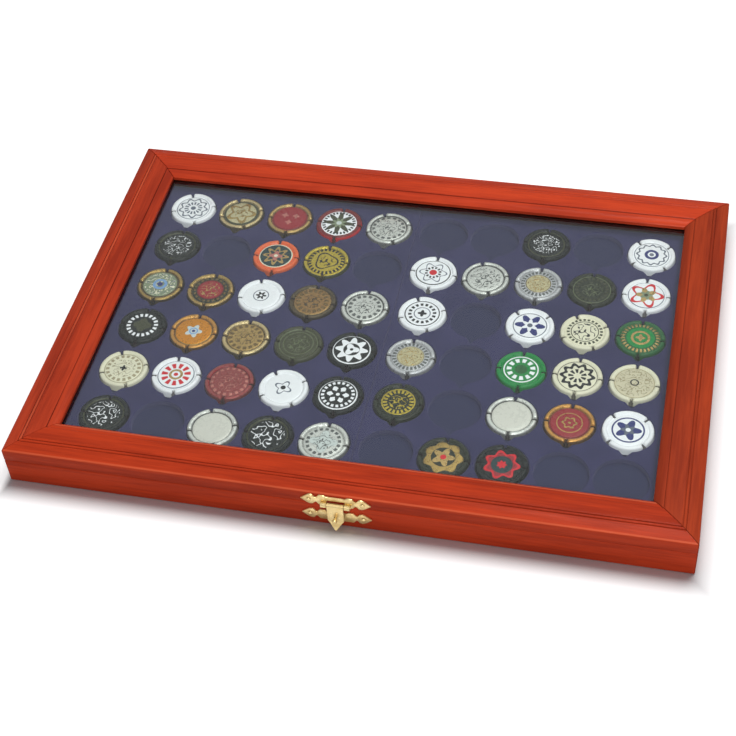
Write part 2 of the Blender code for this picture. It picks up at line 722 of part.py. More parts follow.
def add_tongue():
    """Swinging tongue on its pin, with its knob through it."""
    half = TONGUE_WIDTH / 2
    sheet = prism(tongue_side_outline(), TONGUE_WIDTH)
    sheet.transform(STAND_ALONG_X)
    tongue = add_part("latch_tongue", sheet, "brass", smooth=True)
    tube = rod_along_x(KNUCKLE_RADIUS, -half, half, LATCH_AXIS_Y, LATCH_AXIS_Z)
    combine(tongue, add_cutter("latch_tongue_knuckle", tube), "UNION")
    span = KNUCKLE_RADIUS + TONGUE_TIP_REACH + OVERRUN
    shape = front_prism(tongue_front_outline(), LATCH_AXIS_Y + span, LATCH_AXIS_Y - span)
    combine(tongue, add_cutter("latch_tongue_shape", shape), "INTERSECT")
    reach = half + OVERRUN
    hole = rod_along_x(KNUCKLE_BORE, -reach, reach, LATCH_AXIS_Y, LATCH_AXIS_Z)
    combine(tongue, add_cutter("latch_tongue_bore", hole), "DIFFERENCE")
    neck_hole = bore(KNOB_NECK_RADIUS + CLEARANCE, TONGUE_THICKNESS + OVERRUN, SCREW_SEGMENTS)
    place = Matrix.Translation((0, TONGUE_FRONT, KNOB_Z)) @ FACE_FRONT
    combine(tongue, add_cutter("latch_tongue_hole", placed(neck_hole, place)), "DIFFERENCE")
    add_part("latch_knob", placed(knob_mesh(), place), "brass", smooth=True)


def add_latch_nails(key, plate, rail, height):
    """Round-headed nails through the spears of one latch plate into its rail."""
    nail = fixing(NAIL_HEAD_RADIUS, NAIL_HEAD_HEIGHT, NAIL_SHANK_RADIUS, NAIL_LENGTH, SCREW_SEGMENTS)
    hole = bore(NAIL_SHANK_RADIUS + CLEARANCE, NAIL_LENGTH + OVERRUN, SCREW_SEGMENTS)
    offset = PLATE_HALF_MIDDLE + NAIL_PLACE_SHARE * SPEAR_LENGTH
    holes = []
    for side, x in (("left", -offset), ("right", offset)):
        seat = Matrix.Translation((x, PLATE_FACE - CLEARANCE, height)) @ FACE_FRONT
        add_part(f"latch_nail_{key}_{side}", placed(nail, seat), "brass", smooth=True)
        holes.append(placed(hole, seat))
    cutter = add_cutter(f"latch_nail_{key}_holes", together(holes))
    combine(plate, cutter, "DIFFERENCE")
    combine(rail, cutter, "DIFFERENCE")


def add_latch(base_rail, lid_rail):
    """Whole latch: plates with their nails, tongue, knob and pin."""
    lid_plate = add_lid_plate()
    base_plate = add_base_plate()
    add_tongue()
    reach = HALF_WINDOW + KNUCKLE_LENGTH + PIN_END_OVERHANG
    pin = rod_along_x(LATCH_PIN_RADIUS, -reach, reach, LATCH_AXIS_Y, LATCH_AXIS_Z)
    add_part("latch_pin", pin, "brass", smooth=True)
    add_latch_nails("lid", lid_plate, lid_rail, LID_PLATE_MIDDLE)
    add_latch_nails("base", base_plate, base_rail, BASE_PLATE_MIDDLE)


def hang(obj, pivot, place):
    """Parent an object to a pivot that stands at a place, without moving the object."""
    obj.parent = pivot
    obj.matrix_parent_inverse = Matrix.Translation(place).inverted()


def add_pivot(name, place):
    """Empty on a joint's axis."""
    pivot = bpy.data.objects.new(name, None)
    pivot.location = place
    PARTS.objects.link(pivot)
    return pivot


def hang_moving_pieces():
    """Hang the lid's pieces on the hinge axis, and the tongue and its knob on the latch axis."""
    lid_place = (0, HINGE_AXIS_Y, HINGE_AXIS_Z)
    tongue_place = (0, LATCH_AXIS_Y, LATCH_AXIS_Z)
    pieces = list(PARTS.objects)
    lid_pivot = add_pivot("lid_pivot", lid_place)
    tongue_pivot = add_pivot("tongue_pivot", tongue_place)
    hang(tongue_pivot, lid_pivot, lid_place)
    for piece in pieces:
        words = piece.name.split("_")
        if "tongue" in words or "knob" in words:
            hang(piece, tongue_pivot, tongue_place)
        elif "lid" in words or "strip" in words or piece.name == "latch_pin":
            hang(piece, lid_pivot, lid_place)


def main():
    """Model the whole case."""
    base_rails = add_rails("base_rail", base_outline(), "cherry_wood")
    lid_rails = add_rails("lid_rail", lid_outline(), "cherry_wood")
    add_panel()
    add_trays()
    add_caps()
    add_glass()
    add_hinges(base_rails, lid_rails)
    add_latch(base_rails["front"], lid_rails["front"])
    hang_moving_pieces()


clear_scene()
PARTS = new_collection("champagne_cap_display_case")
CUTTERS = new_collection("cutters")
main()
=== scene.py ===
# %% [markdown]
# # A glass-topped display case for champagne caps
# The real case is a shallow cherry-coloured box with a moulded lid, a pane of glass, a small
# brass latch in front and two hinges behind. Inside lie two flocked trays with sixty round
# recesses, and forty-eight printed caps stand in them.
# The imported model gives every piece's place. This script dresses it, one piece at a time.

# %% Load the frame
import math
import random

import bmesh
import bpy
from mathutils import Matrix, Vector


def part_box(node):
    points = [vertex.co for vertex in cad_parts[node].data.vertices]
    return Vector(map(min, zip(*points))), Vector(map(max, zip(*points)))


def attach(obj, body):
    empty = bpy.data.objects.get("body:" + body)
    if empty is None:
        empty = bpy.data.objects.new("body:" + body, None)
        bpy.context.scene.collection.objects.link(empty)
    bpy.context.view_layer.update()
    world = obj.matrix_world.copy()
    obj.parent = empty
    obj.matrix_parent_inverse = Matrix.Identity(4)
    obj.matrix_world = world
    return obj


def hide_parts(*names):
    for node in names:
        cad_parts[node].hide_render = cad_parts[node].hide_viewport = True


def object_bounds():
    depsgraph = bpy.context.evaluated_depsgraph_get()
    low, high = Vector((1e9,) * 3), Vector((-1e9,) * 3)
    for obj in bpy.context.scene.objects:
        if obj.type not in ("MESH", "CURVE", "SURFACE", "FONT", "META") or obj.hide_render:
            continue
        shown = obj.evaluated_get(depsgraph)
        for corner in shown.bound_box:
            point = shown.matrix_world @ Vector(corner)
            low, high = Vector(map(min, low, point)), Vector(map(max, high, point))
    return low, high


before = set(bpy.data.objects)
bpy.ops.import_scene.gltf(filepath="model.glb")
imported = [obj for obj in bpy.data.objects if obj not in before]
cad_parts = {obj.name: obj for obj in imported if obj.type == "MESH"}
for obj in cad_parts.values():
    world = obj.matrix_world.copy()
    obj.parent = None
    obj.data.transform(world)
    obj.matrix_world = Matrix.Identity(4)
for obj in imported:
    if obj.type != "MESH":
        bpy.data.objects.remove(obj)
cad_low, cad_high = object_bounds()
MM = 0.001


def in_mm(*lengths):
    return [round(length / MM, 2) for length in lengths]


print("CAD box in mm:", in_mm(*(cad_high - cad_low)))

# %% [markdown]
# Each finish is written as the red, green and blue that a photograph shows, from 0 to 255.
# Blender's shaders work in linear light, so one helper turns the one into the other.


# %% Colours
def colour(*display):
    """Linear colour of an 8-bit display colour."""
    steps = [value / 255 for value in display]
    return tuple(v / 12.92 if v <= 0.04045 else ((v + 0.055) / 1.055) ** 2.4 for v in steps) + (1.0,)


TONES = {
    "white": (238, 239, 244), "mist": (196, 204, 202), "cream": (222, 218, 194),
    "beige": (201, 193, 166), "stone": (160, 150, 120), "gold": (180, 150, 86),
    "pale_gold": (214, 192, 142), "yellow_gold": (192, 170, 62), "warm_gold": (202, 148, 74),
    "straw": (198, 188, 148), "orange": (222, 100, 54), "amber": (216, 140, 34),
    "copper": (160, 124, 76), "bronze": (128, 106, 66), "umber": (84, 74, 54),
    "tan": (190, 159, 100), "silver": (218, 220, 214), "matt_silver": (208, 207, 198),
    "pewter": (190, 191, 194), "steel": (106, 110, 108), "burgundy": (145, 38, 45),
    "maroon": (112, 32, 34), "brick": (146, 68, 66), "rose": (192, 120, 110),
    "red": (202, 32, 42), "green": (14, 128, 60), "leaf": (36, 92, 50), "black": (16, 24, 20),
    "ink": (26, 28, 30), "sage": (128, 140, 112), "moss": (96, 104, 76), "olive": (62, 65, 44),
    "dark_olive": (36, 42, 28), "grey": (110, 116, 130), "blue": (44, 52, 112),
    "sky": (120, 158, 206), "teal": (30, 56, 58), "slate": (92, 100, 116), "near_black": (26, 12, 10),
}
INKS = {name: colour(*tone) for name, tone in TONES.items()}
print(len(INKS), "inks")

# %% [markdown]
# A shader is a small circuit, and adding its nodes one by one takes several lines each. Here a
# wire stands for a value in the circuit. A sum or product written with wires adds a math node,
# so a formula in the script looks like the formula that it builds.


# %% Wires
def feed(socket, value):
    """Link a wire to an input socket, or set a constant on it."""
    if isinstance(value, Wire):
        value.tree.links.new(value.socket, socket)
    else:
        socket.default_value = value


def add_node(tree, kind, inputs, **settings):
    """New node with its settings, and its inputs fed by name or by number."""
    node = tree.nodes.new(kind)
    for name, value in settings.items():
        setattr(node, name, value)
    for key, value in inputs.items():
        feed(node.inputs[key], value)
    return node


class Wire:
    """A value in a shader. Each method adds a node and gives the wire that comes from it."""

    def __init__(self, socket):
        self.socket = socket
        self.tree = socket.id_data

    def into(self, kind, inputs, output=0, **settings):
        return Wire(add_node(self.tree, kind, inputs, **settings).outputs[output])

    def math(self, operation, other=0.0):
        return self.into("ShaderNodeMath", {0: self, 1: other}, operation=operation)

    def __abs__(self):
        return self.math("ABSOLUTE")

    def __rsub__(self, other):
        return self.into("ShaderNodeMath", {0: other, 1: self}, operation="SUBTRACT")

    def between(self, low, high):
        """0 below low, 1 above high and a straight line between them."""
        return self.into("ShaderNodeMapRange", {0: self, 1: low, 2: high})

    def stretched(self, x, y, z):
        """A vector with each of its parts multiplied."""
        return self.into("ShaderNodeVectorMath", {0: self, 1: (x, y, z)}, operation="MULTIPLY")

    def parts(self):
        """X, Y and Z of a vector."""
        return [Wire(part) for part in add_node(self.tree, "ShaderNodeSeparateXYZ", {0: self}).outputs]

    def noise(self, scale, detail=2.0, roughness=0.5):
        inputs = {"Vector": self, "Scale": scale, "Detail": detail, "Roughness": roughness}
        return self.into("ShaderNodeTexNoise", inputs, "Fac")


def operator(operation):
    return lambda wire, other: wire.math(operation, other)


Wire.__add__ = operator("ADD")
Wire.__sub__ = operator("SUBTRACT")
Wire.__mul__ = operator("MULTIPLY")
Wire.__truediv__ = operator("DIVIDE")
Wire.__pow__ = operator("POWER")


def mix(factor, first, second):
    """The second colour laid over the first by a mask."""
    return factor.into("ShaderNodeMix", {0: factor, 6: first, 7: second}, 2, data_type="RGBA")


def bumped(height, distance, strength=1.0):
    """Normal of a surface whose height changes by up to a distance."""
    inputs = {"Height": height, "Distance": distance, "Strength": strength}
    return height.into("ShaderNodeBump", inputs, "Normal")


def source(tree, kind, output):
    """Value that a shader gets from outside, such as a place or a kind of ray."""
    return Wire(tree.nodes.new("ShaderNode" + kind).outputs[output])


def ray(tree, kind):
    """1 for rays of one kind, such as those that come from the camera."""
    return source(tree, "LightPath", f"Is {kind} Ray")


print("wires ready")

# %% [markdown]
# An effect that several finishes share is a node group. It is written as a function of its
# input wires that returns its outputs by name, and one decorator turns the function into the
# group. The function's name then places the group in a material, with that material's values.

# %% Groups and materials
PLACE = (0.0, 0.0, 0.0)
PLAIN = (0.5, 0.5, 0.5, 1.0)


def shader_group(**defaults):
    """Make a group of a function. A default of three numbers is a vector, one of four a colour."""

    def build(drawing):
        name = drawing.__name__.replace("_", " ")
        tree = bpy.data.node_groups.new(name, "ShaderNodeTree")
        for label, default in defaults.items():
            size = 1 if isinstance(default, float) else len(default)
            kind = "NodeSocket" + {1: "Float", 3: "Vector", 4: "Color"}[size]
            socket = tree.interface.new_socket(label, in_out="INPUT", socket_type=kind)
            socket.default_value = default
        given = tree.nodes.new("NodeGroupInput").outputs
        results = drawing(*(Wire(given[label]) for label in defaults))
        sink = tree.nodes.new("NodeGroupOutput")
        for label, value in results.items():
            kind = "NodeSocketColor" if value.socket.type == "RGBA" else "NodeSocketFloat"
            tree.interface.new_socket(label, in_out="OUTPUT", socket_type=kind)
            feed(sink.inputs[label], value)
        print(name + ":", len(tree.nodes), "nodes")

        def placed(first, **values):
            node = add_node(first.tree, "ShaderNodeGroup", {0: first, **values}, node_tree=tree)
            return {output.name: Wire(output) for output in node.outputs}

        return placed

    return build


def start_material(name):
    """New material, its node tree and the wire of the place on its object."""
    material = bpy.data.materials.new(name)
    material.use_nodes = True
    return material, material.node_tree, source(material.node_tree, "TexCoord", "Object")


def fill(material, **values):
    """Feed the Principled shader's inputs, with _ for each space in a name."""
    shader = material.node_tree.nodes["Principled BSDF"]
    for name, value in values.items():
        feed(shader.inputs[name.replace("_", " ")], value)


print("group and material helpers ready")

# %% [markdown]
# The frame's wood is a red-brown stained softwood under satin lacquer. Its grain runs along each
# rail as long streaks, with short dark pores between them. A wood photograph could be wrapped
# round it, but a noise that is drawn out along the rail never repeats and stays sharp close up.
# The group is used for the rails, the dark strips and the plywood, each with its own colours.


# %% Wood grain
@shader_group(Vector=PLACE, Pale=PLAIN, Dark=PLAIN, Streaks=1.0)
def wood_grain(place, pale, dark, streaks):
    broad = place.stretched(11, 95, 95).noise(1.0, 3.0)
    fine = place.stretched(32, 620, 620).noise(1.0, 4.0, 0.6)
    pore = place.stretched(70, 1900, 1900).noise(1.0, 1.0).between(0.58, 0.7)
    streak = (broad * 0.6 + fine * 0.4).between(0.4, 0.6) * streaks
    tint = mix(pore * 0.35, mix(streak, pale, dark), dark)
    return {"Color": tint, "Height": fine * 0.4 - pore, "Roughness": streak * 0.12 + 0.3}


# %% [markdown]
# Lacquer rubs off where a corner sticks out, and there the brass looks brighter. The mesh
# itself knows its corners: Pointiness is above one half on a convex edge. It is measured at
# the vertices, so it suits the finely divided brass pieces and not the long plain rails.


# %% Edge wear
@shader_group(Color=PLAIN, Worn=PLAIN, Amount=0.5)
def edge_wear(tint, worn, amount):
    edge = source(tint.tree, "NewGeometry", "Pointiness").between(0.53, 0.6)
    return {"Color": mix(edge * amount, tint, worn)}


# %% [markdown]
# Three woods come from the one grain group: the cherry-stained rails, the almost black strips under the
# glass and the raw plywood underneath. Only colours and streak strength differ. Each of the lid's four
# boards has its own two tones, the back's lightest and the right's darkest: the boards differ a little,
# and over that the tones carry painted light and shade as the lamps fall on each side. Thin lines are
# laid over them: painted shade in the quirks of the moulding and along the right rail's inner slope, and
# painted highlights along the front rail's outer edge and sight edge and along the left rail's bead.
# Every rail has its own frame, so two places in its section are enough to mark a line along it.


# %% Wood materials
def along_line(parts, y, z, width):
    """1 along a line parallel to X through a place in the section, falling to 0 at a width."""
    distance = ((parts[1] - y * MM) ** 2.0 + (parts[2] - z * MM) ** 2.0).math("SQRT")
    return distance.between(width * MM, 0.4 * width * MM)


def wood(name, pale, dark, streaks, gloss, near_black_from=None, lines=()):
    """Satin wood with its grain along its object's X axis, lines of painted light and shade laid along
    it, and near black past a place on Y.
    """
    material, tree, place = start_material(name)
    seed = source(tree, "ObjectInfo", "Random") * 37.0
    shifted = place.into("ShaderNodeVectorMath", {0: place, 1: seed}, operation="ADD")
    grain = wood_grain(shifted, Pale=pale, Dark=dark, Streaks=streaks)
    tint, parts = grain["Color"], place.parts()
    patches = shifted.stretched(9, 0, 0).noise(1.0).between(0.3, 0.5)
    for y, z, width, ink, strength in lines:
        tint = mix(along_line(parts, y, z, width) * patches * strength, tint, ink)
    # Past that place on Y the wood is darkened to near black.
    if near_black_from:
        near_black = parts[1].between(near_black_from - 0.1 * MM, near_black_from)
        tint = mix(near_black, tint, INKS["near_black"])
    normal = bumped(grain["Height"], 0.04 * MM, 0.6)
    fill(material, Base_Color=tint, Roughness=grain["Roughness"], Normal=normal)
    fill(material, Specular_IOR_Level=gloss, Coat_Weight=gloss, Coat_Roughness=0.15)
    return material


# Each board's tones are partly painted light and shade: the back is the lightest and the right the
# darkest, as the lamps fall on them.
BOARDS = {
    "front": (colour(185, 60, 30), colour(149, 45, 24)),
    "right": (colour(167, 62, 33), colour(134, 46, 26)),
    "back": (colour(202, 69, 38), colour(165, 52, 31)),
    "left": (colour(182, 63, 36), colour(144, 46, 28)),
}
# The lighter line colour is a painted highlight along rounded edges.
PAINTED_HIGHLIGHT = colour(228, 110, 74)
# The darker line colour is painted shade, in creases and on a slope turned from the lamps.
PAINTED_SHADE = colour(84, 24, 14)


def quirks(strength):
    """Painted shade in the two quirks beside the bead and under the inner step."""
    places = ((7.9, 28.25, 0.45, 0.8), (9.85, 28.45, 0.4, 0.8), (20.95, 28.2, 0.55, 1.0))
    return tuple((y, z, width, PAINTED_SHADE, share * strength) for y, z, width, share in places)


# Painted highlights lie on the front rail's outer edge and sight edge and on the left rail's bead.
LINES = {
    "front": quirks(0.7) + ((0.5, 27.25, 0.9, PAINTED_HIGHLIGHT, 0.42), (24.8, 27.4, 0.8, PAINTED_HIGHLIGHT, 0.6)),
    # Painted shade lies in every rail's quirks, and a broad band of it on the right rail's inner slope.
    "right": quirks(0.4) + ((24.8, 27.2, 3.6, PAINTED_SHADE, 0.3),),
    "back": quirks(0.6),
    "left": quirks(0.8) + ((8.9, 29.05, 1.0, PAINTED_HIGHLIGHT, 0.3),),
}
CHERRY = {}
for side, tones in BOARDS.items():
    CHERRY[side] = wood(f"cherry wood {side}", *tones, 0.9, 0.04, None, LINES[side])
CHERRY_BASE = wood("cherry wood with a near black inner face", *BOARDS["front"], 0.9, 0.04, 24.2 * MM)
STRIP_WOOD = wood("strip wood", colour(40, 20, 16), colour(20, 10, 9), 0.8, 0.2)
PLYWOOD = wood("plywood", colour(196, 158, 112), colour(160, 118, 76), 0.7, 0.2)
print("woods:", [material.name for material in bpy.data.materials if "wood" in material.name])

# %% [markdown]
# The pieces share three ways of being made: a mesh from rings of points, a turned profile and
# a plate from an outline. Each of them gives a mesh in its own frame. Modifiers could do part
# of this, but from rings every point is where its formula puts it.

# %% Meshes
QUARTER_ARC = [math.radians(30 * step) for step in range(4)]


def smooth_run(points, steps):
    """Points of a Catmull-Rom curve through a run of points."""
    guides = [Vector(point) for point in (points[0], *points, points[-1])]
    run = []
    for before, start, end, after in zip(guides, guides[1:], guides[2:], guides[3:]):
        slope = end - before
        bend = 2 * before - 5 * start + 4 * end - after
        twist = 3 * start - before - 3 * end + after
        for t in [step / steps for step in range(steps)]:
            run.append(tuple(0.5 * (2 * start + slope * t + bend * t**2 + twist * t**3)))
    return run + [tuple(points[-1])]


def inset(outline, distance):
    """Closed outline, counter-clockwise, moved inwards along its corners' normals."""
    corners = [Vector(point) for point in outline]
    moved_in = []
    for before, here, after in zip(corners[-1:] + corners, corners, corners[1:] + corners[:1]):
        along = ((here - before).normalized() + (after - here).normalized()).normalized()
        moved_in.append((here.x - along.y * distance, here.y + along.x * distance))
    return moved_in


def rounded(corners, ease):
    """Upright corners, each with the angle at which its round starts, as runs of points."""
    points = []
    for x, z, start in corners:
        middle_x = x - ease if start in (-90, 0) else x + ease
        middle_z = z + ease if start in (-90, 180) else z - ease
        for angle in [math.radians(start) + turn for turn in QUARTER_ARC]:
            points.append((middle_x + ease * math.cos(angle), middle_z + ease * math.sin(angle)))
    return points


def finished(work, name):
    """Mesh of a bmesh, which is freed."""
    mesh = bpy.data.meshes.new(name)
    work.to_mesh(mesh)
    work.free()
    return mesh


def weave(work, rings):
    """Faces between each ring of points and the next. Gives the first and the last ring."""
    rows = [[work.verts.new(point) for point in ring] for ring in rings]
    for low, high in zip(rows, rows[1:]):
        for corners in zip(low, low[1:] + low[:1], high[1:] + high[:1], high):
            work.faces.new(corners)
    return rows[0], rows[-1]


def skin(rings, closed_ends=True):
    """Mesh through rings of points with as many points each."""
    work = bmesh.new()
    first, last = weave(work, rings)
    if closed_ends:
        work.faces.new(reversed(first))
        work.faces.new(last)
    bmesh.ops.remove_doubles(work, verts=work.verts, dist=MM / 1000)
    bmesh.ops.recalc_face_normals(work, faces=work.faces)
    return finished(work, "skin")


def turned(profile, segments=32, closed_ends=True):
    """Mesh of a profile of radius and height, from top to bottom, turned about Z."""
    angles = [step / segments * math.tau for step in range(segments)]
    circle = [(math.cos(a), math.sin(a)) for a in angles]
    return skin([[(r * x, r * y, height) for x, y in circle] for r, height in profile], closed_ends)


def plate(outline, thickness, edge):
    """Flat plate over Z = 0 from an outline, with its upper edge rounded."""
    levels = [(0.0, 0.0)]
    levels += [(edge * (1 - math.cos(a)), thickness - edge * (1 - math.sin(a))) for a in QUARTER_ARC]
    return skin([[(x, y, z) for x, y in inset(outline, inwards)] for inwards, z in levels])


def joined(*meshes):
    """One mesh from several."""
    work = bmesh.new()
    for mesh in meshes:
        work.from_mesh(mesh)
    return finished(work, "joined")


def moved(mesh, matrix):
    """The mesh itself, after a matrix."""
    mesh.transform(matrix)
    return mesh


print("mesh helpers ready")

# %% [markdown]
# A mesh is seen once an object carries it. One helper makes the object, sets it in place and
# says which body it rides on and what it stands for. Its shading is smooth up to an angle, so
# that round pieces look round and real corners stay crisp.


# %% Objects
def new_object(name, data):
    """Object in the scene."""
    piece = bpy.data.objects.new(name, data)
    bpy.context.scene.collection.objects.link(piece)
    return piece


def make(name, mesh, material, body, nodes=(), place=None, sharp=40):
    """Object of the case that rides on a body and stands for some nodes."""
    mesh.name = name
    mesh.materials.clear()
    mesh.materials.append(material)
    mesh.shade_smooth()
    mesh.set_sharp_from_angle(angle=math.radians(sharp))
    piece = new_object(name, mesh)
    if place:
        piece.matrix_world = place
    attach(piece, body)
    if nodes:
        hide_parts(*nodes)
    return piece


def middle(node):
    """Middle of a node's box."""
    low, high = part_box(node)
    return (low + high) / 2


print("object helpers ready")

# %% [markdown]
# A lid rail is a length of picture-frame moulding. From its outer edge it rises to a narrow
# beaded line, runs level over a broad flat and rolls down to the sight edge above the glass. Its
# section is drawn once, with smooth runs between the sharp quirks, and carried to the mitres.
# Each end closes with a fine chamfer, which leaves the thin dark line of a real mitre.

# %% Lid rails
SIDES = {"front": 0, "right": 90, "back": 180, "left": 270}
GLASS_REBATE = 5.4
SIGHT_EDGE = 7.4 * MM
MITRE_CHAMFER = 0.2 * MM
SAME_PLACE = 0.02 * MM

rail_low, rail_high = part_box("lid_rail_front")
glass_low, glass_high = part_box("lid_glass")
RAIL_WIDTH = rail_high.y - rail_low.y
GLASS_SEAT = glass_high.z + 0.3 * MM


def lid_section():
    """Closed section of a lid rail: distance from the outer edge and height."""
    top = rail_high.z
    inner = RAIL_WIDTH / MM
    rebate = inner - GLASS_REBATE
    seat = (GLASS_SEAT - top) / MM
    runs = (
        [(0.7, -10.9), (rebate, -10.9), (rebate, seat), (inner - 0.3, seat)],
        [(inner, seat + 0.3), (inner, (rail_low.z + SIGHT_EDGE - top) / MM - 0.1)],
        smooth_run([(26.8, -3.3), (25.4, -2.2), (23.6, -1.45), (22.2, -1.2), (21.1, -1.12)], 4),
        smooth_run([(20.95, -0.95), (20.85, -0.65), (20.5, -0.42), (19.8, -0.3)], 3),
        smooth_run([(15.0, -0.1), (11.6, 0.0), (10.5, -0.05), (10.1, -0.25)], 4),
        [(9.95, -0.75), (9.75, -0.75)],
        smooth_run([(9.6, -0.45), (9.25, -0.2), (8.85, -0.15), (8.45, -0.28), (8.15, -0.6)], 3),
        [(8.0, -0.95), (7.8, -0.95)],
        smooth_run([(7.6, -0.62), (7.2, -0.5), (6.4, -0.6), (4.0, -1.08), (1.2, -1.8)], 4),
        smooth_run([(0.75, -1.92), (0.32, -2.2), (0.08, -2.6), (0.0, -3.1)], 2),
        smooth_run([(0.0, -10.4), (0.2, -10.75), (0.7, -10.9)], 3),
    )
    points = []
    for across, down in sum(runs, []):
        point = (across * MM, top + down * MM)
        if not points or math.dist(point, points[-1]) > SAME_PLACE:
            points.append(point)
    if math.dist(points[0], points[-1]) < SAME_PLACE:
        points.pop()
    return points


def mitred(section, half_length):
    """Rail along X: its outer edge lies on Y = 0 and both ends are mitred and chamfered."""
    end = [(inset(section, MITRE_CHAMFER), 0), (section, MITRE_CHAMFER)]
    rings = []
    for sign, outlines in ((-1, end), (1, reversed(end))):
        for outline, back in outlines:
            rings.append([(sign * (half_length - y - back), y, z) for y, z in outline])
    return skin(rings)


def four_rails(kind, section, body, label, finishes):
    """The four rails of the lid or of the base round the case."""
    for side, turn in SIDES.items():
        node = f"{kind}_rail_{side}"
        low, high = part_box(node)
        along = turn // 90 % 2
        reach = max(abs(low[1 - along]), abs(high[1 - along]))
        place = Matrix.Rotation(math.radians(turn), 4, "Z") @ Matrix.Translation((0, -reach, 0))
        mesh = mitred(section, (high[along] - low[along]) / 2)
        make(f"{label}_{side}", mesh, finishes[side], body, [node], place, 28)


section = lid_section()
four_rails("lid", section, "lid", "lid_moulding", CHERRY)
print("lid section:", len(section), "points; rail width in mm:", in_mm(RAIL_WIDTH))

# %% [markdown]
# The base rails are plain boards on edge. Their corners are only eased, and a rebate inside
# holds the bottom panel. The same mitring function makes them from a simpler section.

# %% Base rails
base_low, base_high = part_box("base_rail_front")
WALL = base_high.y - base_low.y
PANEL_REBATE = 6.0 * MM
PANEL_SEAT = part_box("base_bottom_panel")[1].z + 0.3 * MM
EASE = 0.7 * MM

section = [(WALL - PANEL_REBATE, 0.0), (WALL - PANEL_REBATE, PANEL_SEAT), (WALL, PANEL_SEAT)]
section += rounded(((WALL, base_high.z, 0), (0.0, base_high.z, 90), (0.0, 0.0, 180)), EASE)
four_rails("base", section, "base", "base_board", dict.fromkeys(SIDES, CHERRY_BASE))
print("height of the base rails in mm:", in_mm(base_high.z - base_low.z))

# %% [markdown]
# The pane and its four strips keep the CAD solids, which are right as they are: flat float
# glass and square battens. A fine bevel breaks the battens' edges. The pane has none, because a
# bevel would bend the normals of its large faces, and they must mirror as flatly as real glass.
# Clear glass would keep direct lamp light off the trays, because the renderer traces no
# light through it towards a lamp. So the rays that look for a lamp pass straight through.


# %% Glass, strips and bottom panel
def dress(node, material, edge):
    """A CAD node with a finish and, if it has any, edges broken by a fine bevel."""
    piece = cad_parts[node]
    for slot in piece.material_slots:
        slot.material = material
    if edge:
        bevel = piece.modifiers.new("broken edges", "BEVEL")
        bevel.width = edge
        bevel.segments = 2
        bevel.limit_method = "ANGLE"
        bevel.harden_normals = True
    return piece


CLEAR = (0.96, 0.985, 0.975, 1.0)
GLASS, tree, place = start_material("float glass")
fill(GLASS, Base_Color=CLEAR, Roughness=0.0, IOR=1.45)
fill(GLASS, Specular_IOR_Level=0.35, Transmission_Weight=1.0)
lamp_ray = ray(tree, "Shadow").math("MAXIMUM", ray(tree, "Diffuse"))
clear = lamp_ray.into("ShaderNodeBsdfTransparent", {"Color": CLEAR})
solid = Wire(tree.nodes["Principled BSDF"].outputs[0])
either = lamp_ray.into("ShaderNodeMixShader", {0: lamp_ray, 1: solid, 2: clear})
feed(tree.nodes["Material Output"].inputs["Surface"], either)

PANE = dress("lid_glass", GLASS, 0.0)
for side in SIDES:
    dress(f"glass_strip_{side}", STRIP_WOOD, 0.25 * MM)
dress("base_bottom_panel", PLYWOOD, 0.2 * MM)
print("pane in mm:", in_mm(*(glass_high - glass_low)))

# %% [markdown]
# Flock is a coat of very short fibres. It swallows light head on and glows a little at a grazing angle,
# which is what the sheen of the shader is for. Its colour wanders slightly where the pile leans, and a
# fine bump gives it its grain. Painted shade makes each recess a darker blue towards its floor, and
# painted light gives a steep surface, such as a recess wall, a lighter blue.


# %% Flock
@shader_group(Vector=PLACE, Deep=PLAIN, Raised=PLAIN)
def pile(place, deep, raised):
    fibre = place.noise(2600.0, 1.0)
    tone = (place.noise(45.0, 3.0) * 0.85 + fibre * 0.15).between(0.36, 0.64)
    return {"Color": mix(tone, deep, raised), "Height": fibre}


FLOCK, tree, place = start_material("blue flock")
fibres = pile(place, Deep=colour(45, 45, 79), Raised=colour(54, 53, 89))
# Painted shade: each recess grows darker towards its floor.
upper = place.parts()[2].between(11.3 * MM, 14.9 * MM)
tint = mix(upper, colour(45, 48, 77), fibres["Color"])
# Painted light: a steep surface, such as a recess wall, takes a lighter blue.
steep = 1.0 - abs(source(tree, "NewGeometry", "Normal").parts()[2])
tint = mix(steep * 0.65, tint, colour(80, 80, 116))
normal = bumped(fibres["Height"], 0.02 * MM, 0.04)
fill(FLOCK, Base_Color=tint, Normal=normal, Roughness=1.0, Specular_IOR_Level=0.1)
fill(FLOCK, Sheen_Weight=0.2, Sheen_Roughness=0.45, Sheen_Tint=(0.45, 0.42, 0.85, 1.0))
print("flock:", len(tree.nodes), "nodes")

# %% [markdown]
# Each tray is a board with thirty recesses. A recess is round, with a pointed notch in front that lets a
# fingernail under the cap. Cutting thirty holes with Booleans leaves ragged faces round them, so one
# cell is woven instead: a rectangle outside, the recess inside, and rings between them for the rounded
# lip, the wall and the floor. The cells share their edges.

# %% Tray cells
ROWS = 6
COLUMNS = 5
RECESS_RADIUS = 16.2 * MM
NOTCH_HALF_WIDTH = 3.9 * MM
NOTCH_WAIST_HALF_WIDTH = 1.9 * MM
NOTCH_TIP_HALF_WIDTH = 0.6 * MM
NOTCH_TIP = -RECESS_RADIUS - 4.2 * MM
LIP_ROUND = 0.5 * MM
FLOOR_ROUND = 0.4 * MM
TRAY_EDGE = 0.6 * MM
NOTCH_MARGIN = 0.85 * MM
STEEP_CORNER = 1.2
SIDE_STEPS = 14

